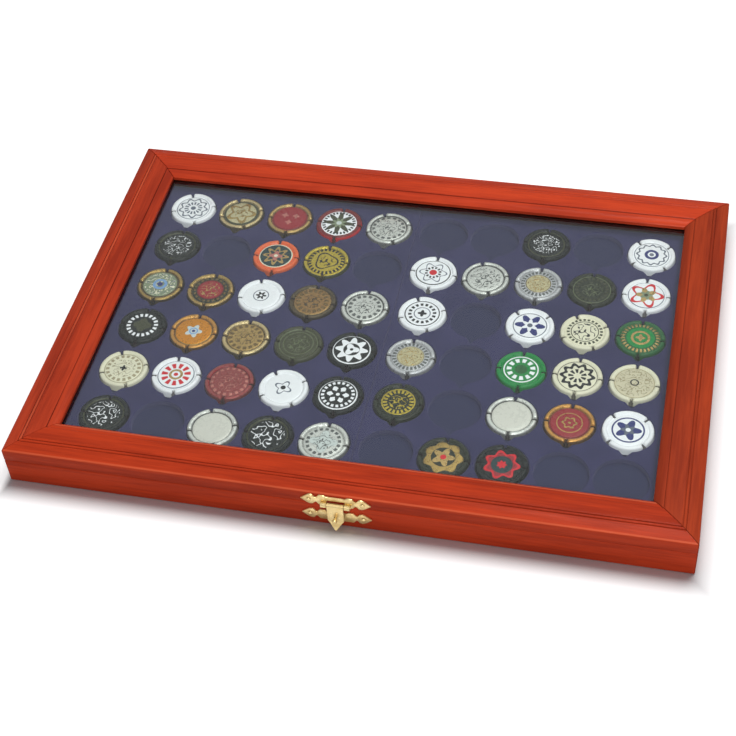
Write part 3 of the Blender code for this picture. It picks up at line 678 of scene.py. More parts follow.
CAP_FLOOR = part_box("cap_row1_column10")[0].z
RECESS_FLOOR = CAP_FLOOR - 0.3 * MM
CORNER_CELL = middle("cap_row1_column10")
NEAR_CELL = middle("cap_row6_column7")
COLUMN_PITCH = (CORNER_CELL.x - NEAR_CELL.x) / 3
ROW_PITCH = (CORNER_CELL.y - NEAR_CELL.y) / 5


def cell_middle(row, column):
    """Middle of a recess: rows from the back, columns from the left over both trays."""
    y = CORNER_CELL.y - row * ROW_PITCH
    x = CORNER_CELL.x - (2 * COLUMNS - 1 - max(column, 2 * COLUMNS - 1 - column)) * COLUMN_PITCH
    return (x if column >= COLUMNS else -x), y


def shares(steps, last=False):
    return [index / steps for index in range(steps + last)]


def arc(start, turn, steps, last=False):
    """Points of the recess's circle from an angle on."""
    angles = [start + turn * share for share in shares(steps, last)]
    return [(RECESS_RADIUS * math.cos(a), RECESS_RADIUS * math.sin(a)) for a in angles]


def recess_outline():
    """Recess counter-clockwise from its lower right, as many points for each of four sides."""
    corner = math.pi / 4
    front = corner - math.asin(NOTCH_HALF_WIDTH / RECESS_RADIUS)
    points = arc(-corner, 6 * corner, 3 * SIDE_STEPS) + arc(5 * corner, front, 4, True)
    waist = (-NOTCH_WAIST_HALF_WIDTH, (points[-1][1] + NOTCH_TIP) / 2)
    left = [waist, (-NOTCH_TIP_HALF_WIDTH, NOTCH_TIP + LIP_ROUND / 2)]
    points += left + [(0.0, NOTCH_TIP)] + [(-x, y) for x, y in reversed(left)]
    return points + arc(7 * corner - front, front, 4)


def rectangle_outline(left, right, front, back):
    """Rectangle with as many points as the recess, in the same order."""
    corners = [(right, front), (right, back), (left, back), (left, front)]
    points = []
    for (x, y), (next_x, next_y) in zip(corners, corners[1:] + corners[:1]):
        points += [(x + (next_x - x) * t, y + (next_y - y) * t) for t in shares(SIDE_STEPS)]
    return points


OUTLINE = recess_outline()
print("recess outline:", len(OUTLINE), "points; pitch in mm:", in_mm(COLUMN_PITCH, ROW_PITCH))

# %% [markdown]
# The two trays have the same thirty cells. Flock lies over a board's corners and softens them.
# So once the cells are woven, the board's sides are pulled down from its rim and its steep
# upper corners get a small bevel. A bevel of all edges would also crease the round lips.

# %% Trays
FLOOR_CURVE = ((0.0, 1.0), (0.3, 0.3), (1.0, 0.0))


def cell_rings(x, y, rectangle, top):
    """Rings of one cell from its rectangle to the middle of its floor."""
    levels = [(LIP_ROUND * (1 - math.sin(a)), top - LIP_ROUND * (1 - math.cos(a))) for a in QUARTER_ARC]
    levels += [(-out * FLOOR_ROUND, RECESS_FLOOR + up * FLOOR_ROUND) for out, up in FLOOR_CURVE]
    rings = [[(px, py, top) for px, py in rectangle]]
    for outwards, height in levels:
        rings.append([(px + x, py + y, height) for px, py in inset(OUTLINE, -outwards)])
    for share in (0.6, 0.0):
        rings.append([(px * share + x, py * share + y, RECESS_FLOOR) for px, py in OUTLINE])
    return rings


def tray_mesh(node, first):
    """Tray of thirty cells, with its sides and underside."""
    low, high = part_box(node)
    work = bmesh.new()
    for row in range(ROWS):
        for column in range(first, first + COLUMNS):
            x, y = cell_middle(row, column)
            split = y + NOTCH_TIP - NOTCH_MARGIN
            back = high.y if row == 0 else split + ROW_PITCH
            front = low.y if row == ROWS - 1 else split
            left = low.x if column == first else x - COLUMN_PITCH / 2
            right = high.x if column == first + COLUMNS - 1 else x + COLUMN_PITCH / 2
            weave(work, cell_rings(x, y, rectangle_outline(left, right, front, back), high.z))
    bmesh.ops.remove_doubles(work, verts=work.verts, dist=0.01 * MM)
    rim = [edge for edge in work.edges if edge.is_boundary]
    for vertex in bmesh.ops.extrude_edge_only(work, edges=rim)["geom"]:
        if isinstance(vertex, bmesh.types.BMVert):
            vertex.co.z = low.z
    bmesh.ops.edgeloop_fill(work, edges=[edge for edge in work.edges if edge.is_boundary])
    bmesh.ops.recalc_face_normals(work, faces=work.faces)
    corners = []
    for edge in work.edges:
        foot = min(vertex.co.z for vertex in edge.verts)
        if edge.calc_face_angle(0.0) > STEEP_CORNER and foot > high.z - MM:
            corners.append(edge)
    bmesh.ops.bevel(work, geom=corners, offset=TRAY_EDGE, segments=3, profile=0.5, affect="EDGES")
    return finished(work, "tray")


for side, first in (("left", 0), ("right", COLUMNS)):
    node = f"tray_{side}"
    mesh = tray_mesh(node, first)
    make(f"flocked_tray_{side}", mesh, FLOCK, "base", [node], None, 50)
    print(node, len(mesh.vertices), "vertices")

# %% [markdown]
# A champagne cap is stamped from thin tinplate: a gently domed middle, a groove, a raised
# rim and a flared skirt. The wire cage bites four nicks into the rim, a quarter turn apart.
# A turned profile alone can't give the nicks, so the rings' points are closer together there
# and each one sinks by a bell curve of its distance from the middle of the nearest nick.

# %% Cap shape
CAP_THICKNESS = 0.35 * MM
CROWN_THICKNESS = 0.4 * MM
NICK_DEPTH = 3.6 * MM
NICK_FOOT = 0.7 * MM
NICK_HALF_WIDTH = 0.8 * MM
NICK_ANGLES = (-9.0, -6.5, -4.8, -3.4, -2.2, -1.0, 0.0, 1.0, 2.2, 3.4, 4.8, 6.5, 9.0)
PLAIN_ANGLES = (15.0, 22.0, 29.0, 36.0, 43.0, 50.0, 57.0, 64.0, 71.0, 76.0)
CAP_PROFILE = (
    (0.0, 4.5), (3.0, 4.49), (6.0, 4.45), (9.0, 4.38), (10.9, 4.3), (11.4, 4.2), (11.7, 3.95),
    (12.0, 3.82), (12.3, 3.98), (12.6, 4.5), (13.0, 4.84), (13.6, 5.0), (14.2, 4.96), (14.8, 4.68),
    (15.15, 4.2), (15.3, 3.5), (15.38, 2.4), (15.55, 1.1), (15.8, 0.2), (15.74, 0.0),
)


def share_between(value, low, size):
    """0 under a low value, 1 from a size above it on."""
    return min(1.0, max(0.0, (value - low) / size))


def cap_mesh():
    """Cap about Z, its foot on Z = 0 and its nicks on the X and Y axes."""
    angles = []
    for quarter in range(4):
        angles += [math.radians(quarter * 90 + turn) for turn in NICK_ANGLES + PLAIN_ANGLES]
    walls = [(radius, height, 0.0, 0.0) for radius, height in CAP_PROFILE]
    walls += [(radius, height, CAP_THICKNESS, CROWN_THICKNESS) for radius, height in CAP_PROFILE[-2::-1]]
    rings = []
    for radius, height, inwards, down in walls:
        reach = share_between(radius, 12.2, 0.5) * share_between(height, 0.8, 2.0)
        r = max(0.0, radius * MM - inwards)
        ring = []
        for angle in angles:
            z = max(0.02 * MM, height * MM - down)
            off = math.remainder(angle, math.pi / 2) * r
            sunk = NICK_DEPTH * reach * math.exp(-((off / NICK_HALF_WIDTH) ** 2))
            z = max(z - sunk, min(z, NICK_FOOT - down))
            ring.append((r * math.cos(angle), r * math.sin(angle), z))
        rings.append(ring)
    return skin(rings)


CAP_MESH = cap_mesh()
print("cap:", len(CAP_MESH.polygons), "faces")

# %% [markdown]
# The prints are built from a few shapes in shader groups. Every group takes a place on the
# cap in millimetres from its middle and gives a mask from 0 to 1: a ring zone, a circle of
# even marks, a flower and curling lines. They are plain ornament of the scale that such prints
# have. A flat shape drawn by a formula stays sharp close up, where a picture laid on the
# cap would blur.

# %% Print shapes
EDGE_SOFTNESS = 0.12
GROOVE, SHOULDER, SKIRT = 12.2, 14.6, 15.2
RIM = {"Inner": 12.1, "Outer": 40.0}


def polar(place):
    """Radius and angle of a place."""
    x, y, _ = place.parts()
    return (x**2.0 + y**2.0).math("SQRT"), y.math("ARCTAN2", x)


def below(value, limit):
    """1 where a value is under a limit, with a soft edge."""
    return (limit - value).between(-EDGE_SOFTNESS, EDGE_SOFTNESS)


@shader_group(Vector=PLACE, Inner=0.0, Outer=5.0)
def ring_zone(place, inner, outer):
    radius, _ = polar(place)
    return {"Mask": below(radius, outer) * (1.0 - below(radius, inner))}


@shader_group(Vector=PLACE, Inner=8.0, Outer=10.0, Count=24.0)
def ring_marks(place, inner, outer, count):
    _, angle = polar(place)
    across = abs((angle / math.tau * count).math("FRACT") - 0.5)
    zone = ring_zone(place, Inner=inner, Outer=outer)["Mask"]
    return {"Mask": zone * across.between(0.32, 0.24)}


@shader_group(Vector=PLACE, Offset=PLACE, Radius=3.0, Petals=5.0, Depth=0.3, Turn=0.0)
def petals(place, offset, reach, count, depth, turn):
    centred = place.into("ShaderNodeVectorMath", {0: place, 1: offset}, operation="SUBTRACT")
    radius, angle = polar(centred)
    wave = ((angle + turn) * count).math("COSINE")
    return {"Mask": below(radius, (wave * depth + 1.0) * reach)}


@shader_group(Vector=PLACE, Radius=8.0, Scale=0.28, Fill=0.5)
def curling_lines(place, reach, scale, ink_share):
    lines = (place.noise(scale, 1.0) * 30.0).math("SINE") + (ink_share - 1.0)
    return {"Mask": lines.between(-0.1, 0.25) * below(polar(place)[0], reach)}


@shader_group(Vector=PLACE, Turn=0.0)
def nick_shade(place, turn):
    radius, angle = polar(place)
    quarters = (angle - turn) / (math.pi / 2)
    off = abs((quarters + 0.5).math("FRACT") - 0.5) * (radius * (math.pi / 2))
    reach = place.parts()[2].between(3.6, 2.8) * 1.1 + 0.65
    shade = off.between(reach, reach * 0.6) * radius.between(GROOVE, GROOVE + 0.6)
    groove = abs(radius - GROOVE).between(0.6, 0.2)
    return {"Mask": shade, "Steep": groove.math("MAXIMUM", radius.between(SHOULDER, SKIRT))}


# %% [markdown]
# A cap's finish is one colour of lacquer over tinplate, with its prints laid on in order. Gold
# and silver inks are metallic, so each ink also sets how metallic the surface is there. The
# stamped caps get their motif as relief instead, through the same masks and a bump. The wire
# pulls the skirt in under each nick, and little light gets there, so a mask darkens it. Bare
# metal also mirrors the dark tray where it is steep, so its groove and skirt are dimmed too.

# %% Cap finish
METALLIC = {
    "gold": 0.85, "pale_gold": 0.8, "yellow_gold": 0.6, "warm_gold": 0.7, "straw": 0.4,
    "amber": 0.6, "copper": 0.7, "bronze": 0.8, "umber": 0.5, "tan": 0.75, "silver": 0.6,
    "matt_silver": 0.1, "pewter": 0.4, "steel": 0.6, "brick": 0.3, "rose": 0.4,
}


@shader_group(Vector=PLACE, Low=0.22, High=0.42)
def scuffs(place, low, high):
    patches = place.noise(0.35, 3.0).between(0.35, 0.65)
    return {"Roughness": patches * (high - low) + low, "Height": place.noise(1.3, 2.0)}


def cap_material(name, base, rim, relief, prints, turn):
    """Finish of one cap from its inks, the depth of its relief, its prints and its nicks' angle."""
    material, tree, place = start_material(name)
    place = place.stretched(1 / MM, 1 / MM, 1 / MM)
    tint, metal, height = INKS[base], METALLIC.get(base, 0.0), None
    layers = [(ring_zone, rim, RIM)] if rim else []
    for shape, ink, values in layers + prints:
        mask = shape(place, **values)["Mask"]
        tint = mix(mask, tint, INKS[ink])
        metal = mask * METALLIC.get(ink, 0.0) + (1.0 - mask) * metal
        if shape is not ring_zone or not rim:
            height = height + mask if height else mask
    worn, nicks = scuffs(place), nick_shade(place, Turn=turn)
    # The near black ink is painted shade in the nicks, and on steep bare metal a painted dark
    # reflection.
    tint = mix(nicks["Mask"] * 0.85, tint, INKS["near_black"])
    tint = mix(nicks["Steep"] * metal * 0.75, tint, INKS["near_black"])
    uneven = worn["Height"] * 0.12
    normal = bumped(uneven + height if height else uneven, relief * MM)
    fill(material, Base_Color=tint, Metallic=metal, Roughness=worn["Roughness"], Normal=normal)
    fill(material, Specular_IOR_Level=0.2, Coat_Weight=0.06, Coat_Roughness=0.12)
    return material


print("metallic inks:", sorted(METALLIC))

# %% [markdown]
# The forty-eight caps are written as a table: row and column, material slot, base ink, rim
# ink, depth of relief and the prints in the order in which they are laid on. Their inks and
# their scale are those of real caps, and their ornaments are made up. A loop with random inks
# would be shorter, but then the case would lose its spread of pale, dark and golden caps.


# %% Cap table
def disc(ink, outer, inner=0.0):
    return ring_zone, ink, {"Inner": inner, "Outer": outer}


def marks(ink, inner, outer, count):
    return ring_marks, ink, {"Inner": inner, "Outer": outer, "Count": count}


def flower(ink, radius, count, depth=0.3, turn=0.0, x=0.0, y=0.0):
    values = {"Offset": (x, y, 0.0), "Radius": radius, "Petals": count, "Depth": depth, "Turn": turn}
    return petals, ink, values


def curls(ink, radius, scale, share):
    return curling_lines, ink, {"Radius": radius, "Scale": scale, "Fill": share}


WHITE = ("white", "white", None, 0.05)
SILVER = ("silver", "silver", None, 0.35)
BLACK = ("black", "black", None, 0.08)
CAP_TABLE = {
    (0, 0): (*WHITE, [disc("slate", 11.3, 10.8), flower("slate", 9.2, 9, 0.12),
        flower("white", 8.0, 9, 0.12), marks("slate", 3.4, 6.2, 14), disc("slate", 1.8)]),
    (0, 1): ("gold", "olive", "pale_gold", 0.3, [disc("straw", 10.4), flower("gold", 8.4, 5, 0.25),
        flower("straw", 6.4, 5, 0.25), curls("gold", 4.4, 0.24, 0.5)]),
    (0, 2): ("burgundy", "burgundy", "tan", 0.15, [disc("maroon", 11.8, 11.0),
        flower("rose", 1.9, 4, 0.3, 0.0, -3.8, 2.4), flower("rose", 1.9, 4, 0.3, 0.0, 3.8, 2.4),
        flower("rose", 1.9, 4, 0.3, 0.0, 0.0, -4.2)]),
    (0, 3): ("two_tone", "white", "maroon", 0.08, [flower("olive", 7.8, 8, 0.35),
        flower("sage", 4.0, 8, 0.3, 0.39), disc("mist", 1.8), marks("ink", 9.2, 11.3, 28),
        disc("red", 15.7, 15.0)]),
    (0, 4): (*SILVER, [curls("steel", 8.4, 0.26, 0.32), marks("steel", 9.2, 11.0, 16),
        disc("steel", 12.5, 11.8)]),
    (0, 7): (*BLACK, [curls("white", 9.0, 0.3, 0.27), disc("olive", 12.2, 11.4)]),
    (0, 9): (*WHITE, [disc("slate", 11.3, 10.8), flower("slate", 9.4, 12, 0.08),
        flower("white", 8.3, 12, 0.08), disc("blue", 4.6, 2.6), disc("grey", 1.5)]),
    (1, 0): (*BLACK, [curls("white", 9.6, 0.27, 0.24), disc("olive", 12.6, 11.8)]),
    (1, 2): ("gold", "teal", "orange", 0.1, [disc("orange", 12.2, 11.2), disc("cream", 11.2, 10.5),
        flower("tan", 7.2, 8, 0.25), flower("teal", 5.0, 8, 0.25), flower("rose", 3.6, 4, 0.3),
        disc("cream", 1.3)]),
    (1, 3): ("gold", "yellow_gold", None, 0.15, [marks("ink", 9.8, 12.4, 26),
        flower("ink", 7.4, 3, 0.15), flower("yellow_gold", 6.4, 3, 0.15),
        curls("ink", 4.6, 0.19, 0.45), disc("olive", 15.8, 14.6)]),
    (1, 5): (*WHITE, [disc("ink", 11.5, 10.8), flower("slate", 7.8, 6, 0.2),
        flower("white", 7.0, 6, 0.2), marks("ink", 3.6, 5.4, 12), disc("red", 2.5)]),
    (1, 6): (*SILVER, [curls("steel", 9.6, 0.24, 0.32), disc("steel", 12.5, 11.7)]),
    (1, 7): ("two_tone", "pewter", None, 0.2, [marks("steel", 8.8, 11.2, 26), disc("straw", 8.0),
        curls("tan", 7.0, 0.3, 0.4), disc("bronze", 8.2, 7.8)]),
    (1, 8): ("olive", "dark_olive", None, 0.15, [disc("moss", 12.2, 11.6),
        marks("olive", 8.6, 10.8, 22), curls("moss", 7.0, 0.26, 0.45)]),
    (1, 9): (*WHITE, [disc("slate", 11.6, 11.1), flower("red", 9.0, 5, 0.25),
        flower("white", 7.2, 5, 0.25), flower("tan", 5.2, 5, 0.3, 0.63), flower("sage", 3.2, 5),
        disc("olive", 1.3)]),
    (2, 0): ("gold", "sage", "gold", 0.12, [disc("umber", 12.0, 11.2),
        curls("cream", 10.4, 0.22, 0.45), curls("slate", 10.4, 0.26, 0.25), disc("sky", 4.8, 2.8),
        disc("blue", 1.8)]),
    (2, 1): ("olive", "dark_olive", "tan", 0.15, [disc("gold", 14.0, 13.0), disc("burgundy", 8.8),
        disc("maroon", 8.8, 8.0), curls("tan", 6.8, 0.24, 0.3), marks("bronze", 9.6, 11.0, 20)]),
    (2, 2): (*WHITE, [disc("slate", 5.2, 4.6), flower("ink", 2.7, 6, 0.35), disc("white", 0.9)]),
    (2, 3): ("gold", "copper", "umber", 0.35, [marks("bronze", 8.0, 10.6, 18),
        curls("umber", 6.2, 0.24, 0.35), disc("tan", 12.2, 11.6)]),
    (2, 4): (*SILVER, [curls("steel", 6.8, 0.26, 0.3), marks("steel", 8.4, 10.6, 16),
        disc("steel", 12.5, 11.7)]),
    (2, 5): (*WHITE, [disc("ink", 11.3, 10.6), marks("ink", 6.8, 9.0, 16), disc("slate", 5.4, 4.8),
        flower("ink", 2.3, 4)]),
    (2, 7): (*WHITE, [disc("slate", 10.8, 10.2), flower("blue", 7.4, 6, 0.3),
        flower("white", 4.2, 6, 0.3, 0.52), disc("slate", 1.7)]),
    (2, 8): ("cream", "cream", None, 0.08, [marks("olive", 9.4, 11.2, 24), disc("olive", 8.8, 8.2),
        curls("ink", 7.2, 0.19, 0.36)]),
    (2, 9): ("green", "leaf", None, 0.2, [marks("tan", 9.6, 12.2, 28), disc("green", 8.8),
        disc("tan", 6.0, 4.4), flower("tan", 2.4, 4, 0.3)]),
    (3, 0): (*BLACK, [marks("white", 7.6, 10.2, 18), flower("olive", 5.2, 4, 0.15)]),
    (3, 1): ("gold", "amber", "warm_gold", 0.15, [flower("mist", 4.6, 5, 0.25),
        disc("sky", 2.9, 2.0), disc("blue", 1.1), disc("gold", 12.1, 11.5)]),
    (3, 2): ("gold", "tan", "pale_gold", 0.35, [marks("bronze", 8.4, 10.8, 16),
        curls("bronze", 7.0, 0.24, 0.34), disc("bronze", 12.0, 11.5)]),
    (3, 3): ("olive", "olive", None, 0.15, [disc("moss", 12.4, 11.8), disc("moss", 9.8, 9.2),
        curls("moss", 7.6, 0.24, 0.45)]),
    (3, 4): (*BLACK, [disc("white", 12.0, 11.3), flower("white", 8.6, 8, 0.22), disc("black", 5.2),
        flower("white", 3.9, 3, 0.3), disc("black", 1.1)]),
    (3, 5): ("two_tone", "pewter", None, 0.2, [marks("steel", 9.0, 11.4, 26), disc("straw", 8.2),
        curls("tan", 7.4, 0.28, 0.4), disc("stone", 8.6, 8.0)]),
    (3, 7): ("green", "green", None, 0.06, [disc("white", 10.8, 10.0),
        marks("white", 5.8, 8.8, 11), disc("leaf", 3.8)]),
    (3, 8): ("cream", "cream", None, 0.05, [disc("ink", 12.2, 11.8), flower("ink", 9.8, 10, 0.12),
        flower("cream", 7.4, 10, 0.14), marks("ink", 2.4, 5.6, 9)]),
    (3, 9): ("cream", "beige", "cream", 0.1, [disc("stone", 12.2, 11.7),
        curls("stone", 10.8, 0.28, 0.45), disc("ink", 2.7, 1.9)]),
    (4, 0): ("cream", "cream", None, 0.1, [disc("stone", 12.2, 11.7),
        marks("stone", 8.8, 11.0, 18), curls("stone", 7.6, 0.28, 0.42),
        flower("ink", 1.8, 4, 0.35)]),
    (4, 1): (*WHITE, [disc("slate", 11.6, 11.0), marks("red", 5.2, 9.2, 11), disc("tan", 4.4, 2.8),
        disc("red", 1.4)]),
    (4, 2): ("burgundy", "brick", None, 0.35, [marks("rose", 9.8, 12.0, 18),
        curls("rose", 8.2, 0.24, 0.34), disc("burgundy", 13.0, 12.4)]),
    (4, 3): (*WHITE, [flower("slate", 4.6, 4, 0.3, 0.4), flower("white", 3.7, 4, 0.3, 0.4),
        disc("ink", 1.6)]),
    (4, 4): ("black", "black", None, 0.06, [disc("white", 12.0, 11.3),
        marks("white", 8.4, 10.4, 20), flower("white", 5.8, 6, 0.2),
        flower("black", 4.0, 6, 0.3, 0.52), disc("white", 1.2)]),
    (4, 5): ("black", "dark_olive", None, 0.15, [disc("yellow_gold", 10.4, 9.6),
        marks("yellow_gold", 6.8, 9.4, 20), curls("yellow_gold", 5.8, 0.24, 0.4)]),
    (4, 7): ("silver", "matt_silver", "silver", 0.03, [disc("steel", 12.4, 11.9)]),
    (4, 8): ("burgundy", "burgundy", "warm_gold", 0.12, [disc("maroon", 12.0, 11.2),
        disc("gold", 7.8, 7.2), flower("gold", 4.2, 6, 0.15), flower("burgundy", 3.1, 6, 0.15),
        disc("gold", 0.9)]),
    (4, 9): (*WHITE, [disc("blue", 9.8, 8.8), flower("blue", 6.2, 5, 0.3),
        flower("slate", 3.4, 5, 0.3, 0.63), disc("white", 1.5)]),
    (5, 0): ("black", "black", None, 0.06, [curls("white", 10.0, 0.2, 0.26),
        disc("olive", 12.6, 11.8)]),
    (5, 2): ("silver", "matt_silver", "silver", 0.03, [disc("steel", 12.4, 11.9)]),
    (5, 3): ("black", "black", None, 0.06, [curls("white", 10.4, 0.18, 0.27),
        disc("olive", 12.6, 11.8)]),
    (5, 4): (*SILVER, [flower("mist", 6.8, 4, 0.3), curls("steel", 6.4, 0.26, 0.25),
        marks("steel", 8.8, 10.6, 18)]),
    (5, 6): ("gold", "dark_olive", None, 0.12, [flower("gold", 11.0, 7, 0.1),
        disc("dark_olive", 7.2), flower("tan", 5.4, 5, 0.3), disc("red", 1.8)]),
    (5, 7): (*BLACK, [flower("red", 9.6, 7, 0.14), flower("burgundy", 8.0, 7, 0.14),
        disc("teal", 6.4), flower("red", 2.6, 7, 0.2)]),
}
print("caps in the table:", len(CAP_TABLE))

# %% [markdown]
# Each cap is a copy of the one stamping, turned to its own nick angle, with its own finish.
# Most caps lie with a nick in the tray's notch. The others are turned by some degrees, and
# their skirt shows there as a small bright point. The right tray's caps stand in for their CAD
# nodes. The left tray's caps have no nodes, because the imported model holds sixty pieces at
# most, and they ride the same body.

# %% Caps in their recesses
chance = random.Random(48)
NICK_TURNS = {
    (0, 0): 18, (0, 1): 24, (0, 4): 20, (0, 9): 38, (1, 6): 16, (2, 2): 17, (2, 5): 24,
    (2, 7): 45, (2, 8): 26, (4, 0): 22, (4, 1): 12, (4, 3): 32, (4, 9): 45, (5, 2): 20,
}
for (row, column), (slot, *finish) in CAP_TABLE.items():
    label = f"row{row + 1}_column{column + 1}"
    turn = math.radians(NICK_TURNS.get((row, column), 0) + chance.uniform(-3, 3))
    material = cap_material(f"cap finish {label}", *finish, turn)
    mesh = moved(CAP_MESH.copy(), Matrix.Rotation(turn, 4, "Z"))
    place = Matrix.Translation((*cell_middle(row, column), CAP_FLOOR))
    nodes = [f"cap_{label}"] if column >= COLUMNS else []
    make(f"printed_cap_{label}", mesh, material, "base", nodes, place, 60)
print("caps placed:", len(CAP_TABLE))

# %% [markdown]
# The latch and hinges are stamped from thin brass sheet and lightly lacquered. Brass turns
# darker where hands don't rub it, so the group fades its colour with a broad noise and
# brightens the edges with the shared wear group.


# %% Brass
@shader_group(Vector=PLACE, Bright=PLAIN, Dull=PLAIN)
def old_brass(place, bright, dull):
    clouds = place.noise(260.0, 3.0).between(0.35, 0.65)
    worn = edge_wear(mix(clouds, bright, dull), Worn=bright, Amount=0.6)
    brushed = place.stretched(400, 5200, 5200).noise(1.0, 1.0)
    return {"Color": worn["Color"], "Roughness": clouds * 0.16 + 0.26, "Height": brushed}


BRASS, tree, place = start_material("brass")
old = old_brass(place, Bright=colour(238, 214, 156), Dull=colour(204, 174, 114))
normal = bumped(old["Height"], 0.02 * MM, 0.5)
fill(BRASS, Base_Color=old["Color"], Roughness=old["Roughness"], Normal=normal, Metallic=0.85)


def brass(name, mesh, body, node, place=None):
    """Brass piece that stands for one node."""
    make(name, mesh, BRASS, body, [node], place)


# %% [markdown]
# Barrels, pins, screws and nails are all turned. A tube closes on itself, so that its pin can
# be seen in its bore. The screws get their slot from a Boolean, on one mesh that all share.

# %% Turned brass
ALONG_X = Matrix.Rotation(math.pi / 2, 4, "Y")
FACE_FRONT = Matrix.Rotation(math.pi / 2, 4, "X")
FACE_BACK = Matrix.Rotation(-math.pi / 2, 4, "X")


def rod(radius, core, ease, low, high, y, z, **options):
    """Turned piece along X with eased ends, round a core radius: 0, or that of a bore."""
    half = (high - low) / 2
    profile = [(core, half), (radius - ease, half), (radius, half - ease)]
    profile += [(r, -height) for r, height in reversed(profile)]
    if core:
        profile.append(profile[0])
    mesh = turned(profile, closed_ends=not core, **options)
    return moved(mesh, Matrix.Translation(((low + high) / 2, y, z)) @ ALONG_X)


def tube(radius, bore, low, high, y, z):
    return rod(radius, bore, 0.15 * MM, low, high, y, z, segments=40)


def pin(radius, low, high, y, z):
    return rod(radius, 0, 0.25 * radius, low, high, y, z)


def fixing(head, rise, shank, length):
    """Round-headed nail or screw: its head stands on Z = 0 and its shank goes down."""
    angles = [step / 6 * math.pi / 2 for step in range(7)]
    profile = [(head * math.sin(angle), rise * math.cos(angle)) for angle in angles]
    return turned(profile + [(shank, 0.0), (shank, 1.2 * shank - length), (0.0, -length)])


def carved(mesh, cutter_mesh):
    """The mesh after a cutter is taken from it."""
    kept, cutter = new_object("kept", mesh), new_object("cutter", cutter_mesh)
    cut = kept.modifiers.new("cut", "BOOLEAN")
    cut.object = cutter
    cut.operation = "DIFFERENCE"
    cut.solver = "EXACT"
    result = bpy.data.meshes.new_from_object(kept.evaluated_get(bpy.context.evaluated_depsgraph_get()))
    for piece in (kept, cutter):
        bpy.data.objects.remove(piece)
    return result


HEAD_RISE = 0.7 * MM
SCREW_HEAD = middle("hinge_screw_left_base_1").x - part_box("hinge_screw_left_base_1")[0].x
SLOT = [(-4 * MM, -0.2 * MM), (4 * MM, -0.2 * MM), (4 * MM, 0.2 * MM), (-4 * MM, 0.2 * MM)]
slot_block = skin([[(x, y, z) for x, y in SLOT] for z in (0.25 * MM, 2 * MM)])
SCREW = carved(fixing(SCREW_HEAD, HEAD_RISE, shank=0.8 * MM, length=7.0 * MM), slot_block)
print("screw:", len(SCREW.polygons), "faces")

# %% [markdown]
# Two butt hinges carry the lid. Each leaf is a strip of sheet with its barrels rolled from it; the
# barrels alternate along one pin. The axis lies just behind the back face, so that the lid folds right
# back. The leaves' extents, the pin's ends and the screws' places come from the frame's own boxes, and
# the sheet, barrels and gaps have given sizes.

# %% Hinges
SHEET = 0.9 * MM
LEAF_EDGE = 0.2 * MM
LEAF_CORNER = 0.5 * MM
BARREL = 1.9 * MM
BARREL_BORE = 1.1 * MM
BARREL_GAP = 0.3 * MM
HALF_LID_BARREL = 6.1 * MM
HALF_BASE_GAP = HALF_LID_BARREL + BARREL_GAP
AXLE = 0.8 * MM
LEAF_BACK = FACE_BACK @ Matrix.Diagonal((1, -1, 1, 1))


def slab(left, right, low, high, near):
    """Rounded strip of sheet in X and height, on the back of the case."""
    corners = ((right, low, -90), (right, high, 0), (left, high, 90), (left, low, 180))
    mesh = plate(rounded(corners, LEAF_CORNER), SHEET, LEAF_EDGE)
    moved(mesh, Matrix.Translation((0, near, 0)) @ LEAF_BACK)
    mesh.flip_normals()
    return mesh


def hinge(side):
    """Two leaves, a pin and four screws of one hinge."""
    pin_low, pin_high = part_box(f"hinge_{side}_pin")
    _, y, z = middle(f"hinge_{side}_pin")
    for body in ("base", "lid"):
        leaf = f"hinge_{side}_{body}_leaf"
        low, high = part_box(leaf)
        x = (low.x + high.x) / 2
        if body == "base":
            top = z - BARREL - BARREL_GAP
            runs = [(low.x, x - HALF_BASE_GAP), (x + HALF_BASE_GAP, high.x)]
            parts = [slab(low.x, high.x, low.z, top, low.y)]
            parts += [slab(*run, top - MM, z, low.y) for run in runs]
        else:
            foot = z + BARREL + BARREL_GAP
            runs = [(x - HALF_LID_BARREL, x + HALF_LID_BARREL)]
            parts = [slab(pin_low.x + 0.4 * MM, pin_high.x - 0.4 * MM, foot, high.z, low.y)]
            parts += [slab(*run, z, foot + MM, low.y) for run in runs]
        parts += [tube(BARREL, BARREL_BORE, *run, y, z) for run in runs]
        brass(f"brass_{leaf}", joined(*parts), body, leaf)
        for number in (1, 2):
            node = f"hinge_screw_{side}_{body}_{number}"
            seat = middle(node)
            seat.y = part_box(node)[1].y - HEAD_RISE
            turn = Matrix.Rotation(chance.uniform(0, math.pi), 4, "Z")
            place = Matrix.Translation(seat) @ FACE_BACK @ turn
            brass(f"slotted_screw_{side}_{body}_{number}", SCREW.copy(), body, node, place)
    axle = pin(AXLE, pin_low.x, pin_high.x, y, z)
    brass(f"brass_hinge_{side}_pin", axle, "base", f"hinge_{side}_pin")


for side in ("left", "right"):
    hinge(side)
print("hinges done")

# %% [markdown]
# The latch plates end in small spears. Their outline is a smooth curve through a few points,
# mirrored to all four quarters. The lid's plate has a window for the tongue, with the bar of the
# plate above it, and its knuckles hold the tongue's pin.

